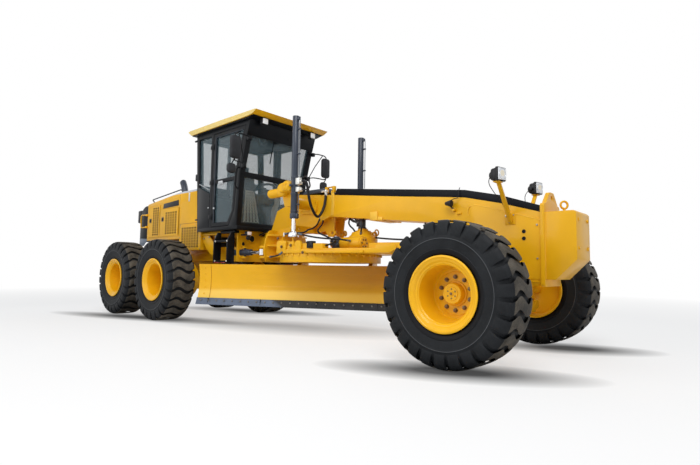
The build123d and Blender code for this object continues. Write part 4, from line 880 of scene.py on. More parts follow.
# ------------------------------------------------------------------ wheels
@dataclass
class TyreMaker:
    """Makes one tyre about the Y axis: a carcass with moulded sides and wavy lugs."""

    radius: float = 0.675
    half_width: float = 0.2215
    lug_count: int = 26
    lug_width: float = 0.108
    lug_depth: float = 0.027
    wave: float = 0.036
    seat_radius: float = 0.33
    side_steps: int = 104
    root: Point = (1.04, 0.86, 0.925)

    def carcass(self) -> Any:
        """The carcass, with a bead ring, a fine ridge and a bulged side."""
        half = self.half_width
        floor = self.radius - self.lug_depth
        side = [(0.178, self.seat_radius), (0.186, 0.352), (0.196, 0.362), (0.206, 0.385), (0.208, 0.404),
            (0.204, 0.409), (0.21, 0.44), (0.2155, 0.478), (0.2175, 0.494), (0.2205, 0.498),
            (0.2205, 0.503), (0.2185, 0.507), (0.2195, 0.53), (half - 0.006, 0.552), (half - 0.018, 0.575),
            (half - 0.03, 0.606), (half - 0.05, floor - 0.014), (half - 0.078, floor - 0.003)]
        profile = [*side, *[(-y, r) for y, r in reversed(side)]]
        return turned(profile, (0, 0, 0), "Y", self.side_steps)

    def crown(self, share: float) -> tuple[float, float]:
        """The lug top's place across the tread.

        Args:
            share: The way across, from -1 to 1 along the lug's top.

        Returns:
            The place across the tyre and the radius.
        """
        half = self.half_width
        line = [(0.0, self.radius), (half * 0.55, self.radius - 0.0015),
            (half - 0.048, self.radius - 0.005), (half - 0.018, self.radius - 0.024),
            (half - 0.003, self.radius - 0.06), (half - 0.0015, self.radius - 0.148)]
        stations = [0.0, 0.38, 0.6, 0.71, 0.81, 1.0]
        part = abs(share)
        index = max(i for i, station in enumerate(stations[:-1]) if part >= station)
        low, high = stations[index], stations[index + 1]
        blend = (part - low) / (high - low)
        y = line[index][0] + (line[index + 1][0] - line[index][0]) * blend
        r = line[index][1] + (line[index + 1][1] - line[index][1]) * blend
        return math.copysign(y, share), r

    def lug(self) -> Any:
        """One lug: a strip that waves across the tread and runs down both shoulders."""
        Bench.deselect()
        bpy.ops.mesh.primitive_grid_add(x_subdivisions=22, y_subdivisions=3, size=2.0)
        piece = bpy.context.object
        for vertex in piece.data.vertices:
            share, side = vertex.co.x, vertex.co.y
            y, r = self.crown(share)
            part = max(-1.0, min(1.0, share / 0.71))
            swing = self.wave * math.sin(3.7 * part)
            width = self.lug_width * (1.0 + 0.04 * share ** 2 + 0.26 * share ** 8)
            turn = (swing + side * width / 2) / self.radius
            vertex.co = (r * math.sin(turn), y, r * math.cos(turn))

        def rooted() -> None:
            bpy.ops.mesh.extrude_region_move()
            bpy.ops.transform.resize(value=self.root)

        return Bench.bevelled(Bench.edited(piece, rooted, Bench.outward), 0.0045, 2, 40.0)

    def build(self) -> Any:
        """The whole tyre."""
        lugs = Bench.copied(self.lug(), Bench.turns(self.lug_count))
        return joined([self.carcass(), lugs])


@dataclass
class RimMaker:
    """Makes a rim about the Y axis, with its dish open towards -Y."""

    flange: float = 0.349
    seat: float = 0.318
    half: float = 0.212

    def shell(self, disc: float) -> Any:
        """The rolled rim and its dished disc.

        Args:
            disc: The disc's place across the rim; the open side is -Y.

        Returns:
            The rim's mesh.
        """
        edge, bore = self.half, self.seat - 0.013
        step = [(-edge + 0.034, bore - 0.018), (-edge + 0.037, bore - 0.03), (-edge + 0.044, bore - 0.033),
            (-edge + 0.05, bore - 0.042), (-edge + 0.062, bore - 0.044), (-edge + 0.074, bore - 0.046)]
        profile = [(-edge + 0.02, self.seat), (-edge + 0.019, self.flange - 0.008),
            (-edge + 0.014, self.flange), (-edge + 0.004, self.flange), (-edge, self.flange - 0.006),
            (-edge, self.seat + 0.014), (-edge + 0.01, self.seat + 0.004),
            (-edge + 0.014, self.seat - 0.01), (-edge + 0.022, bore - 0.008), (-edge + 0.03, bore - 0.014),
            *step, (disc - 0.04, bore - 0.06), (disc - 0.016, bore - 0.064), (disc - 0.006, bore - 0.074),
            (disc - 0.006, 0.205), (disc - 0.012, 0.198), (disc - 0.012, 0.12), (disc - 0.012, 0.0),
            (disc + 0.012, 0.0), (disc + 0.012, bore - 0.05), (disc + 0.03, bore - 0.002),
            (edge - 0.03, bore), (edge - 0.004, self.seat + 0.012), (edge, self.seat + 0.02),
            (edge, self.flange - 0.006), (edge - 0.006, self.flange), (edge - 0.016, self.flange - 0.002),
            (edge - 0.02, self.flange - 0.012), (edge - 0.021, self.seat)]
        return turned(profile, (0, 0, 0), "Y", 96)

    def hub(self, disc: float) -> Any:
        """The raised hub with its cap."""
        face = disc - 0.012
        profile = [(face, 0.0), (face, 0.118), (face - 0.01, 0.118), (face - 0.015, 0.112),
            (face - 0.015, 0.104), (face - 0.062, 0.098), (face - 0.072, 0.09), (face - 0.072, 0.064),
            (face - 0.078, 0.06), (face - 0.078, 0.026), (face - 0.084, 0.022), (face - 0.084, 0.0)]
        return turned(profile, (0, 0, 0), "Y", 48)

    def bolts(self, disc: float, count: int = 10, circle: float = 0.155) -> Any:
        """The ring of wheel bolts with their washers."""
        face = disc - 0.012
        washer = rod((0, face + 0.002, circle), (0, face - 0.006, circle), 0.021, 20)
        head = rod((0, face - 0.005, circle), (0, face - 0.024, circle), 0.0175, 6, 0.002)
        stud = rod((0, face - 0.02, circle), (0, face - 0.034, circle), 0.008, 12)
        one = joined([washer, head, stud])
        return Bench.copied(one, Bench.turns(count))

    def cap_bolts(self, disc: float) -> Any:
        """The small bolts on the hub cap."""
        face = disc - 0.09
        one = rod((0, face + 0.008, 0.043), (0, face - 0.004, 0.043), 0.0075, 6, 0.001)
        middle = rod((0, face - 0.002, 0), (0, face - 0.016, 0), 0.013, 6, 0.002)
        return joined([Bench.copied(one, Bench.turns(6)), middle])


@dataclass
class Wheels:
    """The six wheels: tyres, rims, hubs and bolts, one set a body."""

    dresser: Dresser
    front_disc: float = 0.066
    rear_disc: float = 0.12
    tread_from: float = 0.662
    ridge: tuple[float, float] = (0.4985, 0.5025)
    bead_to: float = 0.405

    def build(self) -> None:
        """Builds all six wheels from one tyre and two rims."""
        tyre = TyreMaker().build()
        rims = RimMaker()
        rows = (("front", self.front_disc), ("mid", self.rear_disc), ("rear", self.rear_disc))
        for row, disc in rows:
            parts = [rims.shell(disc), rims.hub(disc), rims.bolts(disc), rims.cap_bolts(disc)]
            for side, sign in SIDES:
                spot = f"{row}_{side}"
                centre = self.centre(f"tyre_{spot}")
                place = Matrix.Translation(centre)
                if sign > 0:
                    place = place @ Matrix.Rotation(math.pi, 4, "Z")
                body = f"wheel_{spot}"
                self.put(tyre, place, f"tyre_{spot}_tread", body, SIDEWALL, (f"tyre_{spot}",), centre)
                names = (f"rim_{spot}_shell", f"hub_{spot}", f"wheel_bolts_{spot}",
                    f"hub_cap_bolts_{spot}")
                for part, name, finish in zip(parts, names, (YELLOW_RIM, YELLOW_RIM, BOLT, BOLT)):
                    stands = (f"rim_{spot}",) if part is parts[0] else ()
                    self.put(part, place, name, body, finish, stands)
            for part in parts:
                bpy.data.objects.remove(part)
        bpy.data.objects.remove(tyre)

    @staticmethod
    def centre(node: str) -> Vector:
        """The middle of a frame node."""
        low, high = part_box(node)
        return (Vector(low) + Vector(high)) / 2

    def put(self, piece: Any, place: Matrix, name: str, body: str, finish: Finish,
            replaces: Sequence[str] = (), axle: Vector | None = None) -> None:
        """Sets a copy of a piece at a wheel; with an axle, its outer faces get the tread finish, the ridge
        a painted highlight and the bead a darker rubber.
        """
        twin = Bench.copied(piece, [place], keep=True)
        self.dresser.dress(twin, name, body, finish, 40.0, replaces)
        if axle is not None:
            def far(at: Vector) -> float:
                return math.hypot(at.x - axle.x, at.z - axle.z)
            self.dresser.second(twin, TREAD, lambda at: far(at) > self.tread_from)
            # The ridge's thin ring is a painted highlight.
            self.dresser.second(twin, TYRE_RIDGE_HIGHLIGHT, lambda at: self.ridge[0] < far(at) < self.ridge[1])
            self.dresser.second(twin, BEAD, lambda at: far(at) < self.bead_to)


# ------------------------------------------------------------------ sub-assemblies
@dataclass
class Assembly:
    """A group of pieces, written from the front axle, the machine's own datum."""

    dresser: Dresser
    body: str = "front_frame"

    def add(self, name: str, finish: Finish, parts: Any, smooth: float = 35.0, both: bool = False,
            body: str = "", replaces: Sequence[str] = ()) -> Any:
        """Joins parts, moves them from the axle to the frame's origin and dresses them.

        Args:
            name: The piece's name.
            finish: Its finish.
            parts: One mesh, or several to be joined, measured from the front axle.
            smooth: The angle up to which its edges are shaded smooth.
            both: Whether its mirror image belongs to it.
            body: The body that it rides on, if it isn't the assembly's own.
            replaces: Frame nodes that it stands for.

        Returns:
            The piece.
        """
        piece = parts if isinstance(parts, bpy.types.Object) else joined(parts)
        if both:
            piece = mirrored(piece)
        piece.data.transform(Matrix.Translation((FRONT_AXLE_X, 0, 0)))
        return self.dresser.dress(piece, name, body or self.body, finish, smooth, replaces)

    @staticmethod
    def bolts(places: Iterable[Sequence[float]], way: Sequence[float], size: float = 0.013,
            rise: float = 0.012) -> Any:
        """Hexagon bolts with washers at several places, all pointing one way."""
        made = []
        out = Vector(way).normalized()
        for place in places:
            foot = Vector(place)
            made.append(rod(foot - out * 0.002, foot + out * 0.003, size * 1.35, 16))
            made.append(rod(foot, foot + out * rise, size, 6, size * 0.12))
        return joined(made)

    @staticmethod
    def side_plate(points: Outline, low: float, high: float, bevel: float = 0.003) -> Any:
        """A plate standing along the machine: (x, z) points between two y values."""
        return Bench.plate([(x, low, z) for x, z in points], (0, high - low, 0), bevel)

    @staticmethod
    def cross_plate(points: Outline, low: float, high: float, bevel: float = 0.003) -> Any:
        """A plate standing across the machine: (y, z) points between two x values."""
        return Bench.plate([(low, y, z) for y, z in points], (high - low, 0, 0), bevel)


@dataclass
class Nose(Assembly):
    """The nose weight with its eye, and the fittings of the head and the beam."""

    half_head: float = 0.208
    half_beam: float = 0.199
    lamp_x: float = 0.19
    lamp_y: float = 0.515
    lamp_aim: float = -0.22

    def build(self) -> None:
        """Builds the nose and the beam's fittings."""
        self.weight()
        self.head()
        self.lamps()
        self.horn()
        self.beam()

    def weight(self) -> None:
        """The cast weight, pale lines painted along its edges as highlights, its eye and its bolts."""
        shape = [(0.541, 0.81), (0.541, 1.485), (0.812, 1.485), (0.835, 1.462), (0.835, 1.01),
            (0.635, 0.81)]
        block = self.side_plate(shape, -0.22, 0.22, 0.007)
        eye = Bench.ring((0, 0, 0), 0.037, 0.011)
        eye.data.transform(Matrix.Translation((0.66, 0, 1.566)) @ Matrix.Rotation(-0.75, 4, "Z"))
        stem = rod((0.66, 0, 1.483), (0.66, 0, 1.535), 0.014, 20)
        collar = rod((0.66, 0, 1.484), (0.66, 0, 1.494), 0.03, 24, 0.002)
        piece = joined([block, eye, stem, collar])
        self.add("nose_weight", YELLOW, piece, 30.0, replaces=("counterweight",))
        # Pale lines painted along the weight's edges as highlights.
        seam = [box((0.5405, s * 0.2195, 0.82), (0.5465, s * 0.2235, 1.48), 0.001) for s in (1, -1)]
        seam.append(box((0.541, -0.2, 1.4835), (0.5465, 0.2, 1.4865), 0.001))
        self.add("nose_edge_highlights", YELLOW_HIGHLIGHT, seam)
        heads = self.bolts([(0.8345, y, z) for y in (-0.15, 0.15) for z in (1.12, 1.4)], (1, 0, 0), 0.017,
            0.01)
        self.add("nose_bolts", YELLOW, heads)

    def head(self) -> None:
        """The holes, with dark discs painted as the shade inside them, and the small bolts in the head's
        sides.
        """
        rims, hole_shades, heads = [], [], []
        for side in (1, -1):
            y = side * self.half_head
            for x, z in ((0.326, 1.298), (0.325, 1.226)):
                ring = turned([(y, 0.02), (y, 0.026), (y + side * 0.003, 0.025),
                    (y + side * 0.003, 0.021)], (x, 0, z), "Y", 24)
                rims.append(ring)
                # A dark disc painted as the shade inside each hole.
                hole_shades.append(rod((x, y - side * 0.004, z), (x, y + side * 0.0012, z), 0.0205, 24))
            heads.append(self.bolts([(0.144, y + side * 0.012, 1.468), (0.223, y, 1.474),
                (0.185, y + side * 0.012, 1.398)], (0, side, 0), 0.0095, 0.012))
            heads.append(self.bolts([(-0.41, y - side * 0.008, 1.535), (0.46, y, 1.02), (0.46, y, 1.36)],
                (0, side, 0), 0.008, 0.01))
        self.add("head_hole_rims", YELLOW, rims)
        self.add("head_hole_shade", DARK_SHADE_AND_JOINTS, hole_shades)
        self.add("head_small_bolts", STEEL, heads)

    def lamps(self) -> None:
        """The two head lamps: stalk, housing, lens, reflector and adjuster."""
        stalk = self.cross_plate([(0.208, 1.385), (0.208, 1.425), (0.496, 1.79), (0.545, 1.79),
            (0.545, 1.775), (0.51, 1.768), (0.238, 1.402), (0.224, 1.385)], 0.172, 0.212, 0.003)
        foot = box((0.13, 0.207, 1.375), (0.24, 0.216, 1.5), 0.004)
        strap = box((0.155, 0.47, 1.775), (0.225, 0.56, 1.785), 0.003)
        stalk = joined([stalk, foot, strap])
        housing = box((0.138, 0.448, 1.788), (0.222, 0.582, 1.92), 0.03)
        nose = box((0.205, 0.443, 1.784), (0.24, 0.587, 1.926), 0.012)
        back = rod((0.141, 0.515, 1.852), (0.112, 0.515, 1.852), 0.044, 24, 0.008)
        knob = rod((0.18, 0.45, 1.845), (0.18, 0.415, 1.845), 0.022, 20, 0.004)
        pivot = rod((0.19, 0.515, 1.784), (0.19, 0.515, 1.8), 0.028, 20, 0.003)
        shell = joined([housing, nose, back, knob, pivot])
        lens = box((0.236, 0.453, 1.794), (0.246, 0.577, 1.916), 0.01)
        bulb = turned([(0.247, 0.0), (0.247, 0.03), (0.243, 0.034), (0.243, 0.0)], (0, 0.515, 1.862), "X",
            24)
        trim = turned([(0.244, 0.052), (0.244, 0.058), (0.2485, 0.057), (0.2485, 0.053)],
            (0, 0.515, 1.858), "X", 32)
        wire = tube([(0.11, 0.515, 1.84), (0.07, 0.5, 1.8), (0.1, 0.42, 1.7), (0.165, 0.33, 1.575),
            (0.165, 0.26, 1.5), (0.15, 0.218, 1.49)], 0.004)
        for name, finish, piece, aimed in (("lamp_stalks", YELLOW, stalk, False),
                ("lamp_housings", LAMP_BODY, shell, True), ("lamp_lenses", LENS, lens, True),
                ("lamp_bulbs", LENS_WARM, bulb, True), ("lamp_rings", CHROME_SOFT, trim, True),
                ("lamp_wires", HOSE, wire, False)):
            twins = [piece, Bench.other_side(piece)]
            if aimed:
                twins = [self.aimed(twin) for twin in twins]
            stands = ("head_lamps",) if name == "lamp_housings" else ()
            self.add(name, finish, twins, 40.0, replaces=stands)

    def aimed(self, piece: Any) -> Any:
        """A lamp's piece, on either side, turned about its own stalk."""
        side = math.copysign(self.lamp_y, sum(vertex.co.y for vertex in piece.data.vertices))
        stalk = Matrix.Translation((self.lamp_x, side, 0))
        piece.data.transform(stalk @ Matrix.Rotation(self.lamp_aim, 4, "Z") @ stalk.inverted())
        return piece

    def horn(self) -> None:
        """The small black lamp on the beam's near side, with its wire."""
        pieces = [rod((-0.555, -0.255, 1.652), (-0.492, -0.262, 1.648), 0.02, 24, 0.004, 0.036),
            rod((-0.492, -0.262, 1.648), (-0.47, -0.264, 1.646), 0.038, 24, 0.005),
            rod((-0.5, -0.258, 1.625), (-0.47, -0.225, 1.585), 0.008, 12)]
        self.add("side_lamp", LAMP_BODY, pieces, 40.0)
        bracket = box((-0.49, -0.236, 1.56), (-0.455, -0.199, 1.59), 0.003)
        self.add("side_lamp_bracket", YELLOW, bracket)
        wire = tube([(-0.5, -0.26, 1.675), (-0.45, -0.25, 1.705), (-0.42, -0.235, 1.7),
            (-0.405, -0.225, 1.74), (-0.41, -0.215, 1.8), (-0.4, -0.203, 1.83)], 0.0045)
        self.add("side_lamp_wire", HOSE, wire)
        clip = joined([box((-0.435, -0.213, 1.522), (-0.385, -0.199, 1.548), 0.003),
            self.bolts([(-0.41, -0.212, 1.535)], (0, -1, 0), 0.009, 0.012)])
        self.add("beam_clip", YELLOW, clip)

    def beam(self) -> None:
        """The weld band, straps and pads on the beam, painted pale as highlights like the plate edges, and
        the pale cover at its rear.
        """
        bands = []
        for side in (1, -1):
            y = side * self.half_beam
            bands.append(self.side_plate([(-2.432, 2.0), (-2.372, 2.0), (-2.362, 1.84), (-2.372, 1.642),
                (-2.432, 1.648), (-2.416, 1.84)], y, y + side * 0.007, 0.002))
            bands.append(self.side_plate([(-1.7, 1.64), (-1.58, 1.64), (-1.58, 1.535), (-1.7, 1.548)], y,
                y + side * 0.022, 0.004))
            bands.append(self.side_plate([(-1.575, 1.575), (-1.5, 1.565), (-1.5, 1.52), (-1.575, 1.528)],
                y, y + side * 0.016, 0.003))
        self.add("beam_bands", YELLOW_HIGHLIGHT, bands)
        # Pale tubes painted along the plates' edges as highlights.
        edges = joined([tube([(-0.3, side * 0.2, 1.5), (-0.302, side * 0.203, 1.56), (-0.285, side * 0.204,
            1.6), (-0.215, side * 0.206, 1.618), (0.1, side * 0.206, 1.53), (0.499, side * 0.206, 1.408)],
            0.0045, False) for side in (1, -1)])
        self.add("beam_plate_edge_highlights", YELLOW_HIGHLIGHT, edges, 60.0)
        low = box((-1.7, -0.22, 1.528), (-1.58, 0.22, 1.542), 0.003)
        self.add("beam_strap", YELLOW_HIGHLIGHT, low)
        cover = self.side_plate([(-3.06, 1.996), (-2.985, 2.055), (-2.56, 2.055), (-2.54, 1.996)], -0.185,
            0.185, 0.006)
        self.add("rear_cover", SLATE, cover)
        posts = [box((x, -0.212, 1.975), (x + 0.045, -0.17, 2.062), 0.004) for x in (-2.545, -2.405)]
        posts.append(box((-2.52, -0.208, 2.045), (-2.38, -0.17, 2.06), 0.003))
        self.add("cover_clamp", YELLOW, posts)


@dataclass
class Lift(Assembly):
    """The fittings of the lift cylinders and of their saddle."""

    body: str = "lift_barrels"
    barrel: tuple[float, float] = (-2.65, 0.7)
    lobe_y: float = 0.55

    def build(self) -> None:
        """Builds the lift cylinders' fittings on both sides."""
        self.barrels()
        self.saddle()
        self.hoses()

    def barrels(self) -> None:
        """Caps, glands, pipes and the valve blocks."""
        x, y = self.barrel
        caps = joined([rod((x, y, 2.985), (x, y, 3.003), 0.046, 32, 0.006),
            rod((x, y, 1.568), (x, y, 1.64), 0.056, 32, 0.004), rod((x, y, 1.66), (x, y, 1.675), 0.054, 32,
            0.003), rod((x, y, 2.12), (x, y, 2.15), 0.0535, 32, 0.004), rod((x, y, 1.895), (x, y, 1.925),
            0.0535, 32, 0.004), box((x + 0.03, y - 0.02, 1.572), (x + 0.082, y + 0.02, 1.632), 0.005),
            box((x + 0.03, y - 0.02, 2.94), (x + 0.075, y + 0.02, 2.985), 0.005)])
        self.add("lift_caps", SLATE, caps, 40.0, both=True)
        pipes = joined([tube([(x + 0.05, y, 2.965), (x + 0.08, y, 2.965), (x + 0.087, y, 2.955),
            (x + 0.087, y, 2.7), (x + 0.087, y, 2.17)], 0.0062),
            tube([(x + 0.087, y, 1.9), (x + 0.087, y, 1.7), (x + 0.087, y, 1.65), (x + 0.075, y, 1.615),
            (x + 0.05, y, 1.61)], 0.0062)])
        self.add("lift_pipes", PIPE, pipes, 40.0, both=True)
        valve = joined([box((x + 0.052, y - 0.035, 2.03), (x + 0.125, y + 0.035, 2.12), 0.006),
            box((x + 0.052, y - 0.03, 1.93), (x + 0.115, y + 0.03, 1.995), 0.006),
            rod((x + 0.09, y - 0.033, 2.08), (x + 0.09, y - 0.062, 2.08), 0.019, 6, 0.003),
            rod((x + 0.09, y - 0.028, 1.96), (x + 0.09, y - 0.058, 1.96), 0.019, 6, 0.003),
            rod((x + 0.12, y, 2.075), (x + 0.148, y, 2.075), 0.02, 6, 0.003), rod((x + 0.112, y, 1.96),
            (x + 0.142, y, 1.96), 0.018, 6, 0.003)])
        self.add("lift_valves", ZINC, valve, 40.0, both=True)
        clips = joined([box((x + 0.035, y - 0.014, z), (x + 0.099, y + 0.014, z + 0.02), 0.004)
            for z in (2.8, 2.45, 1.75)])
        self.add("lift_pipe_clips", SLATE, clips, both=True)

    def saddle(self) -> None:
        """The saddle's rounded lobe, its lock tube and their bolts."""
        y = self.lobe_y
        lock = rod((-3.365, y, 1.99), (-2.93, y, 1.996), 0.067, 40, 0.022)
        lobe = joined([rod((-2.965, y - 0.078, 2.005), (-2.965, y + 0.135, 2.005), 0.1, 40, 0.03),
            rod((-2.8, y + 0.01, 2.03), (-2.8, y + 0.205, 2.03), 0.074, 32, 0.024),
            box((-2.95, y + 0.03, 1.955), (-2.72, y + 0.185, 2.08), 0.02)])
        lug = rod((-2.9, y - 0.06, 2.06), (-2.9, y + 0.1, 2.06), 0.08, 32, 0.022)
        piece = Bench.modify(joined([lock, lobe, lug]), "REMESH", mode="VOXEL", voxel_size=0.008)
        piece = Bench.modify(piece, "SMOOTH", factor=0.5, iterations=6)
        self.add("saddle_lobes", YELLOW, piece, 60.0, both=True, body="front_frame")
        heads = self.bolts([(-2.83, y + 0.203, 2.055), (-2.77, y + 0.203, 2.055), (-2.8, y + 0.203, 2.0),
            (-3.0, y + 0.13, 2.055), (-2.93, y + 0.13, 1.955)], (0, 1, 0), 0.012, 0.01)
        self.add("saddle_bolts", YELLOW, heads, both=True, body="front_frame")
        ring = rod((-3.36, y, 1.99), (-3.372, y, 1.99), 0.044, 32, 0.004)
        self.add("saddle_tube_caps", YELLOW, ring, both=True, body="front_frame")
        pads = self.bolts([(x, 0.223, z) for x, z in ((-3.02, 1.74), (-2.72, 1.74), (-3.0, 1.86),
            (-2.72, 1.86))], (0, 1, 0), 0.013, 0.012)
        self.add("saddle_pad_bolts", YELLOW, pads, both=True, body="front_frame")

    def hoses(self) -> None:
        """The big loops from the valves to the beam."""
        loop = [(-2.502, 0.7, 2.075), (-2.47, 0.69, 2.08), (-2.44, 0.66, 2.04), (-2.455, 0.6, 1.8),
            (-2.47, 0.5, 1.66), (-2.5, 0.4, 1.6), (-2.52, 0.3, 1.66), (-2.52, 0.225, 1.82),
            (-2.52, 0.216, 1.96)]
        second = [(-2.508, 0.7, 2.1), (-2.47, 0.69, 2.14), (-2.43, 0.67, 2.12), (-2.42, 0.64, 2.06),
            (-2.44, 0.6, 2.0), (-2.48, 0.64, 1.95), (-2.52, 0.69, 1.96)]
        hoses = joined([tube(loop, 0.019, True, 12), tube(second, 0.01, True, 10)])
        self.add("lift_hoses", HOSE, hoses, 60.0, both=True, body="front_frame")
        ends = joined([rod((-2.52, 0.216, 1.93), (-2.52, 0.216, 2.02), 0.022, 6, 0.003),
            box((-2.6, 0.198, 1.985), (-2.49, 0.238, 2.01), 0.004)])
        self.add("lift_hose_ends", ZINC, ends, both=True, body="front_frame")
        beam_hose = joined([tube([(-2.16, -0.1, 1.6), (-2.19, 0.0, 1.575), (-2.25, 0.15, 1.56),
            (-2.4, 0.35, 1.58), (-2.51, 0.55, 1.63), (-2.553, 0.66, 1.6)], 0.011),
            tube([(-2.12, -0.05, 1.6), (-2.17, 0.1, 1.565), (-2.3, 0.3, 1.57), (-2.49, 0.55, 1.6),
            (-2.553, 0.68, 1.612)], 0.011)])
        self.add("beam_under_hoses", HOSE, beam_hose, 60.0, body="front_frame")


@dataclass
class Cab(Assembly):
    """The cab's header, lamps, door fittings, wiper, mirrors and interior."""

    body: str = "rear_frame"
    wall: float = 0.7
    hinge_x: float = -4.694

    def build(self) -> None:
        """Builds the cab's outside and inside pieces."""
        self.header()
        self.door_fittings()
        self.wiper()
        self.mirrors()
        self.interior()
        self.roof()

    def header(self) -> None:
        """The dark header over the windshield with two square work lamps, and the sill."""
        band = Bench.plate([(-3.792, -0.7, 2.955), (-3.792, 0.7, 2.955), (-3.722, 0.7, 3.192),
            (-3.722, -0.7, 3.192)], (0.014, 0, -0.004), 0.003)
        visor = Bench.plate([(-3.8, -0.745, 3.198), (-3.8, 0.745, 3.198), (-3.585, 0.745, 3.221),
            (-3.585, -0.745, 3.221)], (0, 0, 0.006), 0.002)
        sill = box((-4.0, -0.704, 1.486), (-3.966, 0.704, 1.545), 0.008)
        side = [box((-5.128, y, 1.488), (-3.985, y + 0.006, 1.538), 0.003) for y in (-0.706, 0.7)]
        self.add("cab_header", BLACK, [band, visor, sill, *side])
        bodies, lenses = [], []
        for y in (-0.515, 0.505):
            bodies.append(box((-3.64, y - 0.055, 3.112), (-3.572, y + 0.055, 3.216), 0.01))
            bodies.append(box((-3.63, y - 0.03, 3.2), (-3.59, y + 0.03, 3.232), 0.004))
            lenses.append(box((-3.58, y - 0.048, 3.12), (-3.562, y + 0.048, 3.208), 0.01))
        self.add("work_lamp_bodies", LAMP_BODY, bodies)
        self.add("work_lamp_lenses", LENS_WHITE, lenses)

    def roof(self) -> None:
        """The upswept roof, its dark lining, its edge strips painted pale as a highlight and its top caps
        in the same painted highlight.
        """
        shape = [(-5.43, 3.27), (-5.33, 3.197), (-3.86, 3.212), (-3.74, 3.214), (-3.655, 3.219),
            (-3.574, 3.229), (-3.474, 3.279), (-3.52, 3.286), (-4.45, 3.29), (-5.36, 3.282)]
        top = self.side_plate(shape, -0.765, 0.765, 0.006)
        self.add("roof_shell", YELLOW, top, 30.0, replaces=("cab_roof",))
        lining = self.side_plate([(-5.34, 3.186), (-5.32, 3.199), (-3.6, 3.224), (-3.6, 3.214),
            (-3.72, 3.188)], -0.745, 0.745, 0.003)
        self.add("roof_lining", BLACK, lining)
        # Thin strips painted pale as a highlight on the roof's sides.
        strips = []
        for side in (1, -1):
            y = side * 0.7655
            strips.append(self.side_plate(shape, y, y + side * 0.003, 0.0))
        self.add("roof_edge_highlights", ROOF_EDGE_HIGHLIGHT, strips)
        caps = joined([rod((x, y, 3.284), (x, y, 3.302), 0.02, 20, 0.004) for x in (-5.05, -3.85)
            for y in (-0.72, 0.72)])
        self.add("roof_eye_caps", ROOF_EDGE_HIGHLIGHT, caps)

    def door_fittings(self) -> None:
        """Handles, hinges, seals and the side panels of both doors."""
        for side, sign in SIDES:
            door = f"cab_door_{side}"
            y = sign * self.wall
            latch = joined([box((-4.52, y - sign * 0.002, 2.245), (-4.4, y + sign * 0.012, 2.3), 0.008),
                box((-4.5, y, 2.262), (-4.42, y + sign * 0.026, 2.282), 0.006), rod((-4.625, y, 1.86),
                (-4.625, y + sign * 0.016, 1.86), 0.016, 16, 0.003)])
            self.add(f"door_latch_{side}", CHROME_SOFT, latch, body=door)
            grip = tube([(-3.96, y, 2.46), (-3.955, y + sign * 0.055, 2.45), (-3.965, y + sign * 0.06,
                2.3), (-3.975, y + sign * 0.06, 2.14), (-3.975, y, 2.12)], 0.011)
            self.add(f"door_grip_{side}", BLACK, grip, 60.0, body=door)
            heights = (1.72, 2.3, 2.9)
            barrels = [rod((self.hinge_x, y, z - 0.05), (self.hinge_x, y, z + 0.05), 0.014, 16, 0.003)
                for z in heights]
            self.add(f"door_hinges_{side}", BLACK, barrels, body=door)
            plates = [box((-4.79, y - sign * 0.003, z - 0.035), (-4.722, y + sign * 0.006, z + 0.035),
                0.003) for z in heights]
            self.add(f"door_hinge_plates_{side}", BLACK, plates)
            panel = self.side_plate([(-5.118, 1.56), (-5.135, 2.262), (-4.775, 2.118), (-4.775, 1.56)], y,
                y + sign * 0.004, 0.003)
            self.add(f"cab_side_panel_{side}", BLACK_SHEEN, panel)
            louvres = [box((-5.1 + 0.042 * step, y, 2.3 - 0.017 * step), (-5.074 + 0.042 * step,
                y + sign * 0.008, 2.314 - 0.017 * step), 0.002) for step in range(8)]
            louvres.append(rod((-4.8, y, 1.882), (-4.8, y + sign * 0.009, 1.882), 0.013, 16, 0.003))
            self.add(f"cab_louvres_{side}", CHROME_SOFT, louvres)
            seal = tube([(-4.632, y + sign * 0.001, 1.622), (-4.632, y + sign * 0.001, 2.27),
                (-4.632, y + sign * 0.001, 3.05), (-3.885, y + sign * 0.001, 3.05)], 0.006, False)
            self.add(f"door_seal_{side}", SLATE_EDGE, seal, 60.0, body=door)
            arms = []
            for x, z in ((-5.25, 3.1), (-5.14, 1.7)):
                arms.append(box((x - 0.065, y - sign * 0.03, z - 0.012), (x + 0.03, y + sign * 0.004,
                    z + 0.012), 0.004))
            self.add(f"cab_rear_arms_{side}", BLACK, arms)
            corner = box((-5.325, sign * 0.66, 2.4), (-5.235, sign * 0.56, 2.52), 0.012)
            self.add(f"cab_rear_boxes_{side}", PLASTIC, corner)

    def wiper(self) -> None:
        """The windshield wiper and its motor."""
        arm = joined([tube([(-3.768, 0.1, 3.06), (-3.785, -0.02, 3.0), (-3.806, -0.16, 2.92)], 0.007,
            False), tube([(-3.772, 0.14, 3.05), (-3.79, 0.02, 2.99), (-3.806, -0.14, 2.91)], 0.005, False),
            tube([(-3.757, -0.16, 3.08), (-3.806, -0.16, 2.9), (-3.88, -0.16, 2.6)], 0.008, False),
            rod((-3.8, 0.12, 3.055), (-3.745, 0.12, 3.04), 0.022, 20, 0.004)])
        self.add("wiper", BLACK, arm, 40.0)

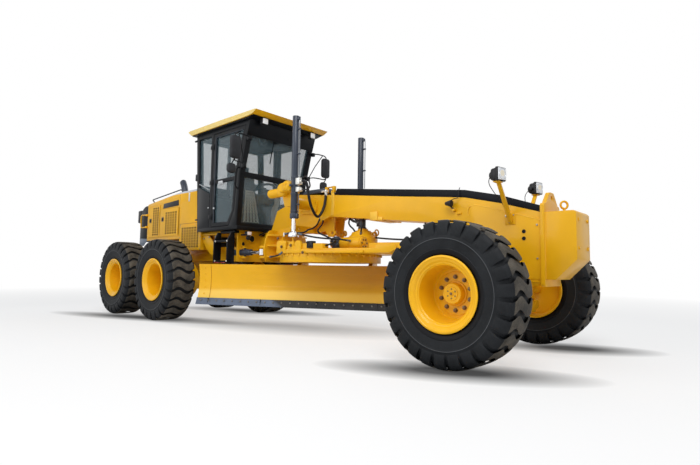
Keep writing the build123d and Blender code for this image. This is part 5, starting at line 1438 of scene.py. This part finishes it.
    def mirrors(self) -> None:
        """The rounded mirrors on wire frames, one large and one small a side."""
        head = self.cross_plate(self.round_corners(0.872, 1.048, 2.515, 2.866, 0.05), -3.735, -3.672, 0.02)
        glass = self.cross_plate(self.round_corners(0.884, 1.036, 2.527, 2.854, 0.042), -3.7385, -3.7345,
            0.0)
        small = self.cross_plate(self.round_corners(0.905, 1.05, 2.3, 2.448, 0.045), -3.795, -3.735, 0.02)
        small_glass = self.cross_plate(self.round_corners(0.917, 1.038, 2.312, 2.436, 0.038), -3.7985,
            -3.7945, 0.0)
        shells = joined([head, small])
        glasses = joined([glass, small_glass])
        wires = joined([tube([(-3.735, 0.66, 2.895), (-3.72, 0.74, 2.915), (-3.71, 0.88, 2.915),
            (-3.7, 0.96, 2.905), (-3.7, 0.975, 2.86)], 0.0095),
            tube([(-3.86, 0.66, 2.478), (-3.82, 0.74, 2.505), (-3.77, 0.86, 2.5), (-3.71, 0.96, 2.478),
            (-3.7, 0.975, 2.52)], 0.0095), tube([(-3.715, 0.895, 2.912), (-3.79, 0.78, 2.7),
            (-3.85, 0.69, 2.49)], 0.008, False), tube([(-3.7, 0.975, 2.515), (-3.72, 0.978, 2.47),
            (-3.76, 0.978, 2.44)], 0.009), box((-3.9, 0.655, 2.44), (-3.83, 0.71, 2.51), 0.006),
            box((-3.775, 0.655, 2.86), (-3.715, 0.71, 2.92), 0.006)])
        self.add("mirror_shells", PLASTIC, shells, 50.0, both=True, replaces=("mirrors",))
        self.add("mirror_glasses", MIRROR, glasses, both=True)
        self.add("mirror_wires", BLACK, wires, 60.0, both=True)

    @staticmethod
    def round_corners(left: float, right: float, low: float, high: float, radius: float) -> list[
            tuple[float, float]]:
        """A rectangle's outline with round corners."""
        corners = ((right - radius, high - radius, 0.0), (left + radius, high - radius, 90.0),
            (left + radius, low + radius, 180.0), (right - radius, low + radius, 270.0))
        return [(y + radius * math.cos(math.radians(start + turn)),
            z + radius * math.sin(math.radians(start + turn))) for y, z, start in corners
            for turn in (0.0, 22.5, 45.0, 67.5, 90.0)]

    def interior(self) -> None:
        """The seat's cushions, the steering wheel, console, fan, blinds and levers."""
        seat = box((-4.86, -0.255, 1.84), (-4.385, 0.255, 1.985), 0.05)
        seat = Bench.modify(seat, "SUBSURF", levels=1)
        back = Bench.plate([(-4.86, -0.245, 1.95), (-4.74, -0.245, 1.95), (-4.83, -0.245, 2.57),
            (-4.91, -0.245, 2.57)], (0, 0.49, 0), 0.04)
        rest = box((-4.935, -0.14, 2.56), (-4.845, 0.14, 2.72), 0.035)
        arms = [box((-4.8, y - 0.035, 2.12), (-4.45, y + 0.035, 2.17), 0.02) for y in (-0.3, 0.3)]
        self.add("seat_cushions", FABRIC, [seat, back, rest, *arms], 50.0)
        wheel = Bench.ring((0, 0, 0), 0.178, 0.017, "Z", 40)
        hub = rod((0, 0, -0.03), (0, 0, 0.02), 0.042, 24, 0.008)
        wheel = joined([wheel, hub])
        wheel.data.transform(Matrix.Translation((-4.215, 0, 2.222)) @ Matrix.Rotation(-0.4636, 4, "Y"))
        self.add("steering_wheel_rim", PLASTIC, wheel, 50.0)
        console = [box((-4.27, -0.12, 1.96), (-4.06, 0.12, 2.13), 0.03)]
        for y in (-0.095, -0.065, -0.035, 0.035, 0.065, 0.095):
            console.append(rod((-4.2, y, 2.11), (-4.235, y, 2.22), 0.006, 10))
            console.append(Bench.ball((-4.236, y, 2.225), 0.013, 12))
        console.append(box((-4.3, 0.4, 1.6), (-4.02, 0.6, 2.02), 0.03))
        self.add("console", PLASTIC, console, 40.0)
        fan = joined([turned([(-0.03, 0.055), (-0.03, 0.09), (0.0, 0.105), (0.03, 0.09), (0.03, 0.055)],
            (-3.93, -0.3, 2.96), "X", 32), rod((-3.97, -0.3, 2.96), (-3.91, -0.3, 2.96), 0.035, 20, 0.01),
            box((-4.35, -0.42, 2.98), (-4.02, 0.42, 3.09), 0.03)])
        self.add("fan_and_blower", PLASTIC, fan, 40.0)
        slats = []
        for low, high, z_top in (((-0.345, -0.074), (-0.35, -0.205), 2.17),
                ((0.135, 0.262), (0.285, 0.372), 2.12)):
            for step in range(5):
                share = step / 4
                foot = low[0] + (low[1] - low[0]) * share
                top = high[0] + (high[1] - high[0]) * share
                for side in (1, -1):
                    points = []
                    for i in range(11):
                        rise = i / 10
                        swing = 0.024 * side * (1 - 0.4 * rise) * (1 if i % 2 else -1)
                        points.append((-4.27 + 0.03 * rise, foot + (top - foot) * rise + swing,
                            1.65 + (z_top - 1.65) * rise))
                    slats.append(tube(points, 0.0068, False, 4))
        self.add("inner_slats", BEIGE, slats, 60.0)
        trim = joined([box((-5.17, -0.62, 1.56), (-5.08, 0.62, 2.1), 0.02), box((-5.2, -0.1, 2.28),
            (-5.14, -0.06, 3.09), 0.01), box((-5.2, 0.25, 2.28), (-5.14, 0.29, 3.09), 0.01)])
        self.add("rear_trim", PLASTIC, trim)


@dataclass
class Hood(Assembly):
    """The hood's doors, grilles, rail, latches and tail pieces."""

    body: str = "rear_frame"
    hole: tuple[float, float] = (0.63, 0.68)
    sheet: float = 0.003
    door_face: float = -0.5705
    box_face: float = -0.6245

    def build(self) -> None:
        """Builds the hood's pieces."""
        self.doors()
        self.side_grilles()
        self.trims()
        self.tail()
        self.exhaust()

    def perforated(self, shape: Outline, y: float, first: tuple[float, float], grid: tuple[int, int],
            pitch: tuple[float, float]) -> tuple[Any, Any]:
        """A thin sheet on the right side with a grid of holes, and the dark lining behind it painted as
        the shade inside.

        Args:
            shape: The sheet's (x, z) points.
            y: The sheet's outer face.
            first: The (x, z) of the lowest rear hole.
            grid: The number of columns and rows.
            pitch: The holes' spacing along x and z.

        Returns:
            The sheet and its lining, a dark sheet painted as shade.
        """
        sheet = self.side_plate(shape, y, y + self.sheet, 0.0)
        wide, high = pitch[0] * self.hole[0] / 2, pitch[1] * self.hole[1] / 2
        holes = []
        for column in range(grid[0]):
            for row in range(grid[1]):
                x, z = first[0] + column * pitch[0], first[1] + row * pitch[1]
                holes.append(box((x - wide, y - 0.01, z - high), (x + wide, y + 0.02, z + high), 0.0))
        sheet = Bench.cut(sheet, joined(holes))
        end = [first[0] + (grid[0] - 1) * pitch[0], first[1] + (grid[1] - 1) * pitch[1]]
        # The lining: a dark sheet painted as the shade behind the holes.
        lining = box((first[0] - 0.045, y + 0.0034, first[1] - 0.03), (end[0] + 0.045, y + 0.0085,
            end[1] + 0.03), 0.001)
        return sheet, lining

    def doors(self) -> None:
        """The four doors, with their grilles, dark linings painted as the shade behind the holes, latches
        and hinges.
        """
        spans = (("rear", [(-7.195, 1.472), (-6.76, 1.472), (-6.76, 2.104), (-7.195, 2.068)],
            (-7.005, 1.522), (3, 12), (0.0875, 0.0475), -7.129),
            ("front", [(-6.734, 1.472), (-6.03, 1.472), (-6.03, 2.01), (-6.734, 2.01)], (-6.49, 1.533),
            (5, 9), (0.0912, 0.0484), -6.628))
        for name, shape, first, grid, pitch, latch_x in spans:
            y = self.door_face
            panel, lining = self.perforated(shape, y, first, grid, pitch)
            edges = [self.side_plate([shape[i], shape[(i + 1) % 4], self.inward(shape, (i + 1) % 4),
                self.inward(shape, i)], y + 0.0005, y + 0.01, 0.0) for i in range(4)]
            panel = joined([panel, *edges])
            latch = box((latch_x - 0.04, y - 0.006, 1.768), (latch_x + 0.04, y + 0.002, 1.85), 0.004)
            pull = joined([box((latch_x - 0.024, y - 0.014, 1.782), (latch_x + 0.024, y - 0.005, 1.836),
                0.006), rod((latch_x, y - 0.01, 1.8), (latch_x, y - 0.022, 1.8), 0.01, 16, 0.002)])
            x = shape[1][0] - 0.004
            hinges = joined([rod((x, y - 0.001, z), (x, y - 0.001, z + 0.06), 0.0055, 12)
                for z in (1.55, 1.9)])
            for piece, kind, finish in ((panel, "panel", YELLOW), (lining, "lining", DARK_SHADE_AND_JOINTS),
                    (latch, "latch", SLATE_EDGE), (pull, "pull", LAMP_BODY), (hinges, "hinge", YELLOW)):
                for side, half in (("R", piece), ("L", Bench.other_side(piece))):
                    door = f"hood_door_{name}_{side}"
                    self.add(f"{door}_{kind}", finish, half, 30.0, body=door, replaces=(door,)
                        if kind == "panel" else ())

    @staticmethod
    def inward(shape: Outline, index: int) -> tuple[float, float]:
        """A corner of a shape moved a little towards its middle."""
        middle = [sum(point[axis] for point in shape) / len(shape) for axis in (0, 1)]
        corner = shape[index]
        return tuple(c + math.copysign(0.012, m - c) for c, m in zip(corner, middle))

    def side_grilles(self) -> None:
        """The perforated covers of the side boxes, with dark linings painted as the shade behind the
        holes, and their corner bolts.
        """
        shape = [(-5.862, 1.188), (-5.128, 1.188), (-5.128, 1.63), (-5.862, 1.63)]
        y = self.box_face
        # dark is the lining painted as the shade behind the holes.
        grille, dark = self.perforated(shape, y, (-5.757, 1.252), (7, 8), (0.0862, 0.047))
        rim = joined([self.side_plate([shape[i], shape[(i + 1) % 4], self.inward(shape, (i + 1) % 4),
            self.inward(shape, i)], y + 0.0005, -0.56, 0.0) for i in range(4)])
        heads = self.bolts([(x, y, z) for x in (-5.845, -5.145) for z in (1.207, 1.42, 1.612)], (0, -1, 0),
            0.008, 0.008)
        self.add("side_grilles", YELLOW, grille, 30.0, both=True)
        self.add("side_grille_rims", YELLOW, rim, both=True)
        self.add("side_grille_shade_sheets", DARK_SHADE_AND_JOINTS, dark, both=True)
        self.add("side_grille_bolts", STEEL, heads, both=True)

    def trims(self) -> None:
        """The top cover painted pale grey as a sky reflection, rail, blank plates, strips, seams in
        painted shade and the panel borders painted pale as highlights.
        """
        # The hood's top, painted pale grey as the sky's reflection.
        top = self.side_plate([(-7.275, 2.128), (-7.265, 2.158), (-6.04, 2.29), (-5.345, 2.296),
            (-5.335, 2.245), (-6.04, 2.24)], -0.552, 0.552, 0.012)
        self.add("hood_top_reflection", HOOD_TOP_REFLECTION, top)
        rail = tube([(-7.11, -0.5, 2.175), (-7.205, -0.5, 2.236), (-7.208, -0.5, 2.248),
            (-7.2, -0.5, 2.256), (-6.105, -0.5, 2.35), (-6.088, -0.5, 2.348), (-5.985, -0.5, 2.282)],
            0.0115, False, 10)
        self.add("hood_rails", RAIL, rail, 60.0, both=True)
        plate = self.side_plate([(-6.64, 2.022), (-6.04, 2.04), (-6.05, 2.146), (-6.62, 2.114)], -0.5655,
            -0.56, 0.001)
        self.add("hood_blank_plates", LAMP_BODY, plate, both=True)
        strip = box((-5.69, -0.568, 2.082), (-5.648, -0.558, 2.245), 0.004)
        self.add("hood_strips", CHROME_SOFT, strip, both=True)
        # Thin strips painted as the shade in the hood's grooves.
        seams = [box((-6.004, -0.5618, 1.46), (-5.996, -0.559, 2.235), 0.0008),
            box((-5.996, -0.5618, 1.676), (-5.335, -0.559, 1.684), 0.0008)]
        self.add("hood_seams", YELLOW_GROOVE_SHADE, seams, both=True)
        # Pale tubes painted round the panels as highlights.
        border = tube([(-7.232, -0.56, 1.462), (-7.232, -0.56, 2.095), (-5.985, -0.56, 2.203),
            (-5.985, -0.56, 1.462), (-7.232, -0.56, 1.462)], 0.006, False)
        self.add("hood_border_highlights", YELLOW_HIGHLIGHT, border, 60.0, both=True)
        heads = self.bolts([(-5.95, -0.56, 1.6), (-5.42, -0.56, 1.655), (-5.95, -0.56, 1.655)], (0, -1, 0),
            0.008, 0.008)
        self.add("hood_bolts", STEEL, heads, both=True)

    def tail(self) -> None:
        """The guard's lamp boxes, handles and lower pale panel."""
        lamp = joined([box((-7.765, -0.545, 1.8), (-7.6, -0.4, 2.06), 0.02), box((-7.62, -0.52, 1.83),
            (-7.56, -0.42, 2.03), 0.006)])
        lens = box((-7.772, -0.53, 1.82), (-7.755, -0.415, 2.04), 0.006)
        self.add("tail_lamp_boxes", LAMP_BODY, lamp, both=True)
        self.add("tail_lamp_lenses", RED, lens, both=True)
        grip = tube([(-7.3, -0.575, 1.935), (-7.48, -0.58, 1.95), (-7.53, -0.58, 1.93),
            (-7.53, -0.58, 1.81), (-7.53, -0.58, 1.7), (-7.48, -0.58, 1.683), (-7.3, -0.575, 1.69)], 0.014,
            True, 10)
        tabs = joined([box((-7.32, -0.592, z - 0.02), (-7.262, -0.556, z + 0.02), 0.004)
            for z in (1.935, 1.69)])
        self.add("tail_handles", YELLOW, [grip, tabs], 60.0, both=True)
        low = self.side_plate([(-7.61, 1.31), (-7.61, 1.47), (-7.285, 1.45), (-7.285, 1.41),
            (-7.42, 1.31)], -0.556, -0.549, 0.003)
        self.add("tail_panels", SLATE_PALE, low, both=True)
        bars = joined([box((-7.628, -0.49, z), (-7.618, 0.49, z + 0.022), 0.002)
            for z in (1.43 + 0.054 * step for step in range(8))])
        self.add("tail_slats", BLACK, bars)

    def exhaust(self) -> None:
        """The exhaust's curved, slanted outlet, with a dark disc painted as the shade in its bore."""
        pipe = tube([(-6.62, -0.1, 2.2), (-6.64, -0.1, 2.33), (-6.68, -0.1, 2.47), (-6.74, -0.1, 2.6),
            (-6.79, -0.1, 2.66)], 0.064, True, 24)
        tool = box((-0.5, -0.3, 0.0), (0.5, 0.3, 0.5), 0.0)
        tool.data.transform(Matrix.Translation((-6.765, -0.1, 2.63)) @ Matrix.Rotation(-0.75, 4, "Y"))
        pipe = Bench.bevelled(Bench.cut(pipe, tool), 0.012, 3)
        # A dark disc painted as the shade inside the bore.
        bore = rod((-6.742, -0.1, 2.615), (-6.772, -0.1, 2.647), 0.046, 32)
        band = turned([(2.33, 0.066), (2.33, 0.074), (2.35, 0.074), (2.35, 0.066)], (-6.648, -0.1, 0), "Z",
            32)
        self.add("exhaust_pipe", SLATE, [pipe, band], 60.0, replaces=("exhaust_stack",))
        self.add("exhaust_bore", DARK_SHADE_AND_JOINTS, bore)


@dataclass
class Hitch(Assembly):
    """The fittings at the frame hinge: steps, lamps, brackets, ports, bolts and hoses."""

    body: str = "rear_frame"

    def build(self) -> None:
        """Builds the hinge's fittings."""
        lamp = joined([box((-3.985, -0.545, 1.396), (-3.915, -0.455, 1.462), 0.01),
            rod((-3.96, -0.5, 1.36), (-3.925, -0.5, 1.36), 0.036, 24, 0.006), box((-4.12, -0.515, 1.4),
            (-3.98, -0.485, 1.425), 0.004)])
        lens = box((-3.918, -0.538, 1.402), (-3.905, -0.462, 1.456), 0.008)
        self.add("hitch_lamps", LAMP_BODY, lamp, 40.0, both=True)
        self.add("hitch_lamp_lenses", LENS_PINK, lens, both=True)
        gusset = self.side_plate([(-5.12, 1.43), (-4.93, 1.43), (-4.8, 1.31), (-4.7, 1.1), (-4.86, 1.1),
            (-5.0, 1.2), (-5.12, 1.33)], -0.585, -0.565, 0.004)
        rail = box((-5.14, -0.6, 1.432), (-4.55, -0.5, 1.456), 0.004)
        self.add("cab_brackets", YELLOW, [gusset, rail], both=True)
        heads = self.bolts([(-4.92, -0.585, 1.4), (-4.76, -0.565, 1.4), (-5.08, -0.585, 1.38)], (0, -1, 0),
            0.014, 0.014)
        self.add("cab_bracket_bolts", STEEL, heads, both=True)
        mount = [rod((x, y, 1.445), (x, y, 1.492), 0.05, 24, 0.008) for x in (-5.02, -4.25)
            for y in (-0.48, 0.48)]
        self.add("cab_mounts", HOSE, mount, 40.0)
        feet = [box((x, -0.774, 0.958), (x + 0.12, -0.7, 0.972), 0.002) for x in (-4.46, -4.28)]
        self.add("step_reflectors", RED, feet, both=True)
        rungs = self.bolts([(-4.44, -0.771, 1.305), (-4.12, -0.771, 1.305), (-4.44, -0.771, 0.99),
            (-4.12, -0.771, 0.99)], (0, -1, 0), 0.01, 0.01)
        self.add("step_bolts", ZINC, rungs, both=True)
        treads = [box((-4.474, -0.7665, z), (-4.132, -0.645, z + 0.006), 0.002) for z in (0.991, 1.316)]
        self.add("step_treads", BLACK, treads, both=True)
        ports, rims = [], []
        for y, z, radius in ((-0.3, 1.36, 0.05), (0.3, 1.36, 0.05), (-0.47, 1.27, 0.03),
                (0.47, 1.27, 0.03)):
            # Dark discs painted as the shade inside the ports.
            ports.append(rod((-4.117, y, z), (-4.1125, y, z), radius, 28))
            rims.append(turned([(-4.1155, radius), (-4.1155, radius + 0.008), (-4.108, radius + 0.007),
                (-4.108, radius)], (0, y, z), "X", 28))
        self.add("bulkhead_ports", DARK_SHADE_AND_JOINTS, ports)
        self.add("bulkhead_port_rims", YELLOW, rims)
        heads = self.bolts([(-4.1145, y, z) for y in (-0.52, 0.52) for z in (1.06, 1.2, 1.44)], (1, 0, 0),
            0.01, 0.01)
        self.add("bulkhead_bolts", YELLOW, heads)
        lines = []
        for y in (-0.09, -0.05, 0.05, 0.09):
            lines.append(tube([(-4.12, y * 1.6, 1.43), (-4.02, y * 1.6, 1.46), (-3.92, y * 1.3, 1.5),
                (-3.8, y, 1.47), (-3.755, y, 1.455)], 0.012, True, 8))
        self.add("hitch_hoses", HOSE, lines, 60.0)


@dataclass
class Circle(Assembly):
    """The fittings of the drawbar, its gearbox, its hoses and the blade."""

    body: str = "drawbar"
    middle: Point = (-2.61, 0.0, 0.0)
    foot: Point = (-0.137, -0.19, 0.32)
    yaw: float = 24.93
    lean: float = -4.3
    height: float = 0.62
    bow: float = 0.045
    first_bolt: float = -1.9
    bolt_pitch: float = 0.1357
    bolt_count: int = 29

    def build(self) -> None:
        """Builds the fittings below the beam."""
        self.gearbox()
        self.hoses()
        self.blade()

    def gearbox(self) -> None:
        """The gearbox's bolts, motor, end cap, worm housing, column and eye."""
        around = [Matrix.Translation((-2.0, 0, 0)) @ turn for turn in Bench.turns(14, "Z")]
        one = self.bolts([(0.217, 0, 1.1665)], (0, 0, 1), 0.008, 0.012)
        self.add("gearbox_flange_bolts", BOLT, Bench.copied(one, around))
        cap = self.bolts([(-1.7645, -0.25 + 0.05 * math.cos(a), 1.232 + 0.05 * math.sin(a))
            for a in (math.tau * step / 6 for step in range(6))], (1, 0, 0), 0.009, 0.011)
        self.add("worm_cap_bolts", BOLT, cap)
        plug = joined([rod((-1.766, -0.25, 1.232), (-1.752, -0.25, 1.232), 0.024, 24, 0.003),
            turned([(-1.802, 0.083), (-1.802, 0.092), (-1.786, 0.092), (-1.786, 0.083)], (0, -0.25, 1.232),
            "X", 40)])
        self.add("worm_plug", YELLOW, plug)
        column = joined([rod((-2.01, 0, 1.44), (-2.01, 0, 1.6), 0.047, 32, 0.006), rod((-2.01, 0, 1.445),
            (-2.01, 0, 1.468), 0.06, 32, 0.004)])
        self.add("swivel_column", SLATE, column, 50.0)
        housing = turned([(-2.165, 0.0), (-2.165, 0.062), (-2.15, 0.08), (-2.12, 0.088), (-1.8, 0.088),
            (-1.79, 0.084), (-1.772, 0.084), (-1.766, 0.08), (-1.766, 0.062), (-1.7615, 0.058),
            (-1.7615, 0.0)], (0, -0.25, 1.232), "X", 48)
        self.add("worm_housing", YELLOW, housing, 40.0)
        loop = Bench.ring((-1.835, 0.1, 1.395), 0.04, 0.01)
        self.add("gearbox_eye", YELLOW, loop, 50.0)
        motor = joined([rod((-2.205, -0.315, 1.165), (-2.205, -0.315, 1.315), 0.062, 32, 0.008),
            rod((-2.205, -0.315, 1.31), (-2.205, -0.315, 1.33), 0.04, 24, 0.005),
            box((-2.275, -0.365, 1.2), (-2.135, -0.265, 1.235), 0.006), box((-2.25, -0.4, 1.245),
            (-2.16, -0.34, 1.3), 0.008)])
        self.add("circle_motor", SLATE, motor, 50.0)
        heads = self.bolts([(-2.24, -0.4, 1.272), (-2.17, -0.4, 1.272)], (0, -1, 0), 0.008, 0.008)
        self.add("circle_motor_bolts", ZINC, heads)

    def hoses(self) -> None:
        """The drawbar's hoses, with their ferrules, and its ear bolts."""
        runs = ([(-2.815, -0.7, 1.364), (-2.7, -0.69, 1.382), (-2.6, -0.67, 1.372), (-2.506, -0.65, 1.372),
            (-2.5, -0.6, 1.395), (-2.515, -0.55, 1.423), (-2.55, -0.46, 1.44), (-2.6, -0.35, 1.47),
            (-2.64, -0.24, 1.54), (-2.66, -0.18, 1.64)], [(-2.529, -0.7, 1.353), (-2.46, -0.68, 1.335),
            (-2.34, -0.6, 1.307), (-2.2, -0.54, 1.29), (-2.044, -0.5, 1.28), (-1.96, -0.44, 1.272),
            (-1.93, -0.36, 1.262)], [(-2.338, -0.65, 1.177), (-2.28, -0.63, 1.178), (-2.231, -0.6, 1.177),
            (-2.15, -0.55, 1.2), (-2.083, -0.5, 1.23), (-2.1, -0.44, 1.262), (-2.16, -0.4, 1.275)],
            [(-3.13, -0.7, 1.049), (-3.05, -0.73, 1.052), (-2.96, -0.745, 1.06), (-2.887, -0.75, 1.069),
            (-2.83, -0.75, 1.1)], [(-2.21, -0.395, 1.285), (-2.2, -0.45, 1.3), (-2.24, -0.5, 1.33),
            (-2.36, -0.5, 1.37), (-2.47, -0.42, 1.42), (-2.55, -0.3, 1.47), (-2.58, -0.2, 1.54),
            (-2.6, -0.17, 1.64)], [(-1.86, 0.02, 1.33), (-1.76, 0.04, 1.315), (-1.5, 0.06, 1.29),
            (-1.2, 0.06, 1.275), (-1.06, 0.05, 1.275), (-1.0, 0.03, 1.31), (-0.995, 0.02, 1.42),
            (-1.0, 0.0, 1.58)], [(-2.02, -0.12, 1.365), (-2.03, -0.15, 1.43), (-2.1, -0.16, 1.48),
            (-2.16, -0.13, 1.54), (-2.15, -0.08, 1.66)], [(-1.92, -0.14, 1.355), (-1.89, -0.17, 1.42),
            (-1.86, -0.17, 1.49), (-1.89, -0.13, 1.55), (-1.9, -0.08, 1.66)])
        lines = joined([tube(run, 0.0115, True, 8) for run in runs])
        self.add("drawbar_hoses", HOSE, lines, 60.0)
        ends = []
        for run in runs:
            for first, second in ((run[0], run[1]), (run[-1], run[-2])):
                a = Vector(first)
                way = (Vector(second) - a).normalized()
                ends.append(rod(a - way * 0.004, a + way * 0.045, 0.0145, 14, 0.002))
                ends.append(rod(a - way * 0.016, a + way * 0.004, 0.017, 6, 0.002))
        self.add("drawbar_hose_ends", PIPE, ends)
        ears = joined([self.bolts([(x, side * 0.754, z) for side in (-1,) for x, z in ((-2.908, 1.302),
            (-2.832, 1.184), (-2.4, 1.1), (-2.64, 1.2))], (0, -1, 0), 0.015, 0.016),
            self.bolts([(x, 0.754, z) for x, z in ((-2.908, 1.302), (-2.832, 1.184))], (0, 1, 0), 0.015,
            0.016)])
        self.add("drawbar_ear_bolts", BOLT, ears)
        nipple = joined([rod((-2.792, -0.748, 1.325), (-2.792, -0.748, 1.362), 0.011, 6, 0.002),
            rod((-2.792, -0.748, 1.355), (-2.792, -0.748, 1.378), 0.007, 14, 0.002)])
        self.add("drawbar_nipple", ZINC, nipple)
        manifold = joined([box((-2.4, -0.69, 1.16), (-2.3, -0.61, 1.255), 0.006),
            rod((-2.375, -0.69, 1.232), (-2.375, -0.705, 1.232), 0.014, 6, 0.002),
            rod((-2.33, -0.69, 1.19), (-2.33, -0.705, 1.19), 0.014, 6, 0.002)])
        self.add("drawbar_manifold", LAMP_BODY, manifold)

    def on_blade(self, name: str, finish: Finish, parts: Sequence[Any], smooth: float = 35.0) -> None:
        """Lays parts, measured along the blade from its foot, on the turned and leant blade."""
        piece = joined(parts)
        piece.data.transform(Matrix.Translation(self.middle) @ Matrix.Rotation(math.radians(self.yaw), 4,
            "Z") @ Matrix.Translation(self.foot) @ Matrix.Rotation(math.radians(self.lean), 4, "X"))
        self.add(name, finish, piece, smooth, body="blade")

    def face(self, z: float) -> float:
        """How far back the bowed blade's face lies at a height above its foot."""
        bend = self.height ** 2 / (8 * self.bow) + self.bow / 2
        return self.bow - bend + math.sqrt(bend ** 2 - (z - self.height / 2) ** 2)

    def blade(self) -> None:
        """The blade's edge bolts and nuts, its seams, the end bit seams in painted shade and its end bits'
        studs.
        """
        stations = [self.first_bolt + self.bolt_pitch * step for step in range(self.bolt_count)]
        self.on_blade("edge_bolts", EDGE_BOLT, [rod((x, -0.003, 0.064), (x, -0.0135, 0.0625), 0.0125, 20,
            0.003) for x in stations], 50.0)
        self.on_blade("edge_seams", DARK_SHADE_AND_JOINTS, [box((x, -0.014, 0.004), (x + 0.004, 0.002, 0.104), 0.001)
            for x in (-1.775, -0.89, 0.0, 0.89, 1.775)])
        heights = [0.11 + 0.05 * step for step in range(11)]
        # A thin tube painted as the shade in the seam at each end bit.
        self.on_blade("end_bit_seams", YELLOW_SEAM_SHADE, [tube([(x, self.face(z) - 0.0035, z) for z in heights],
            0.0036, True, 6) for x in (-1.772, 1.772)], 60.0)
        self.on_blade("end_bit_studs", YELLOW,
            [rod((x, self.face(z) + 0.004, z), (x, self.face(z) - 0.006, z), 0.012, 20, 0.002)
            for x in (-1.88, 1.88) for z in (0.17, 0.27, 0.37, 0.47, 0.56)], 50.0)
        self.on_blade("edge_nuts", BOLT, [rod((x, 0.036, 0.07), (x, 0.056, 0.07), 0.014, 6, 0.002)
            for x in stations])


# ------------------------------------------------------------------ frame nodes
@dataclass
class FrameSkins:
    """The frame nodes whose shape is right: edges rounded and finished."""

    dresser: Dresser
    finishes: dict[str, Finish] = field(default_factory=lambda: {"hose_cover": BLACK_COVER,
        "radiator_guard": BLACK, "steps": BLACK, "cab_shell": BLACK, "cab_door_L": BLACK,
        "cab_door_R": BLACK, "lift_barrels": SLATE, "shift_barrel": SLATE, "fold_barrel_L": SLATE,
        "fold_barrel_R": SLATE, "lift_rods": CHROME, "shift_rod": CHROME, "fold_rod_L": CHROME,
        "fold_rod_R": CHROME, "tie_rod_ball": CHROME, "cab_glass": GLASS, "door_glass_L": GLASS,
        "door_glass_R": GLASS, "cab_interior": PLASTIC, "engine_block": IRON, "cutting_edge": EDGE,
        "moldboard": BLADE_WITH_PAINTED_LIGHT})
    trimmed: dict[str, Any] = field(default_factory=lambda:
        {"lift_saddle": (((-3.6, 0.44, 1.93), (-3.055, 0.66, 2.2)),
        ((-3.06, 0.6, 1.93), (-2.5, 0.83, 2.2))),
        "drawbar": (((-2.165, 0.345, 1.1565), (-1.43, 0.85, 1.45)),)})
    kept_whole: tuple[str, ...] = ("lift_rods", "shift_rod", "fold_rod", "tie_rod_ball", "cab_glass",
        "door_glass", "engine_block")

    def build(self) -> None:
        """Dresses each node that has no piece of its own; what isn't listed is yellow."""
        replaced = {name for piece in bpy.data.objects for name in replaced_nodes(piece)}
        for node, thing in frame["nodes"].items():
            if node in replaced:
                continue
            finish = self.finishes.get(node, YELLOW)
            if node.startswith(self.kept_whole):
                for slot in thing.material_slots:
                    slot.material = finish.material()
                continue
            skin = Bench.node_copy(node, 0.0)
            for low, high in self.trimmed.get(node, ()):
                shift = Vector((FRONT_AXLE_X, 0, 0))
                for sign in (1, -1):
                    tool = box([*(Vector(low) + shift)], [*(Vector(high) + shift)], 0.0)
                    if sign < 0:
                        tool.data.transform(Matrix.Scale(-1, 4, (0, 1, 0)))
                        tool.data.flip_normals()
                    skin = Bench.cut(skin, tool)
            skin = Bench.bevelled(skin, 0.004, 2)
            self.dresser.dress(skin, f"{node}_skin", body_of_node(node), finish, 30.0, (node,))


def main() -> None:
    """Builds the studio and dresses the machine."""
    logging.basicConfig(level=logging.INFO, format="%(message)s")
    dresser = Dresser()
    Studio().build()
    Wheels(dresser).build()
    for assembly in (Nose, Lift, Cab, Hood, Hitch, Circle):
        assembly(dresser).build()
    FrameSkins(dresser).build()
    bpy.context.view_layer.update()
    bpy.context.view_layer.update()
    log.info("%d pieces dressed", dresser.count)


if __name__ == "__main__":
    main()
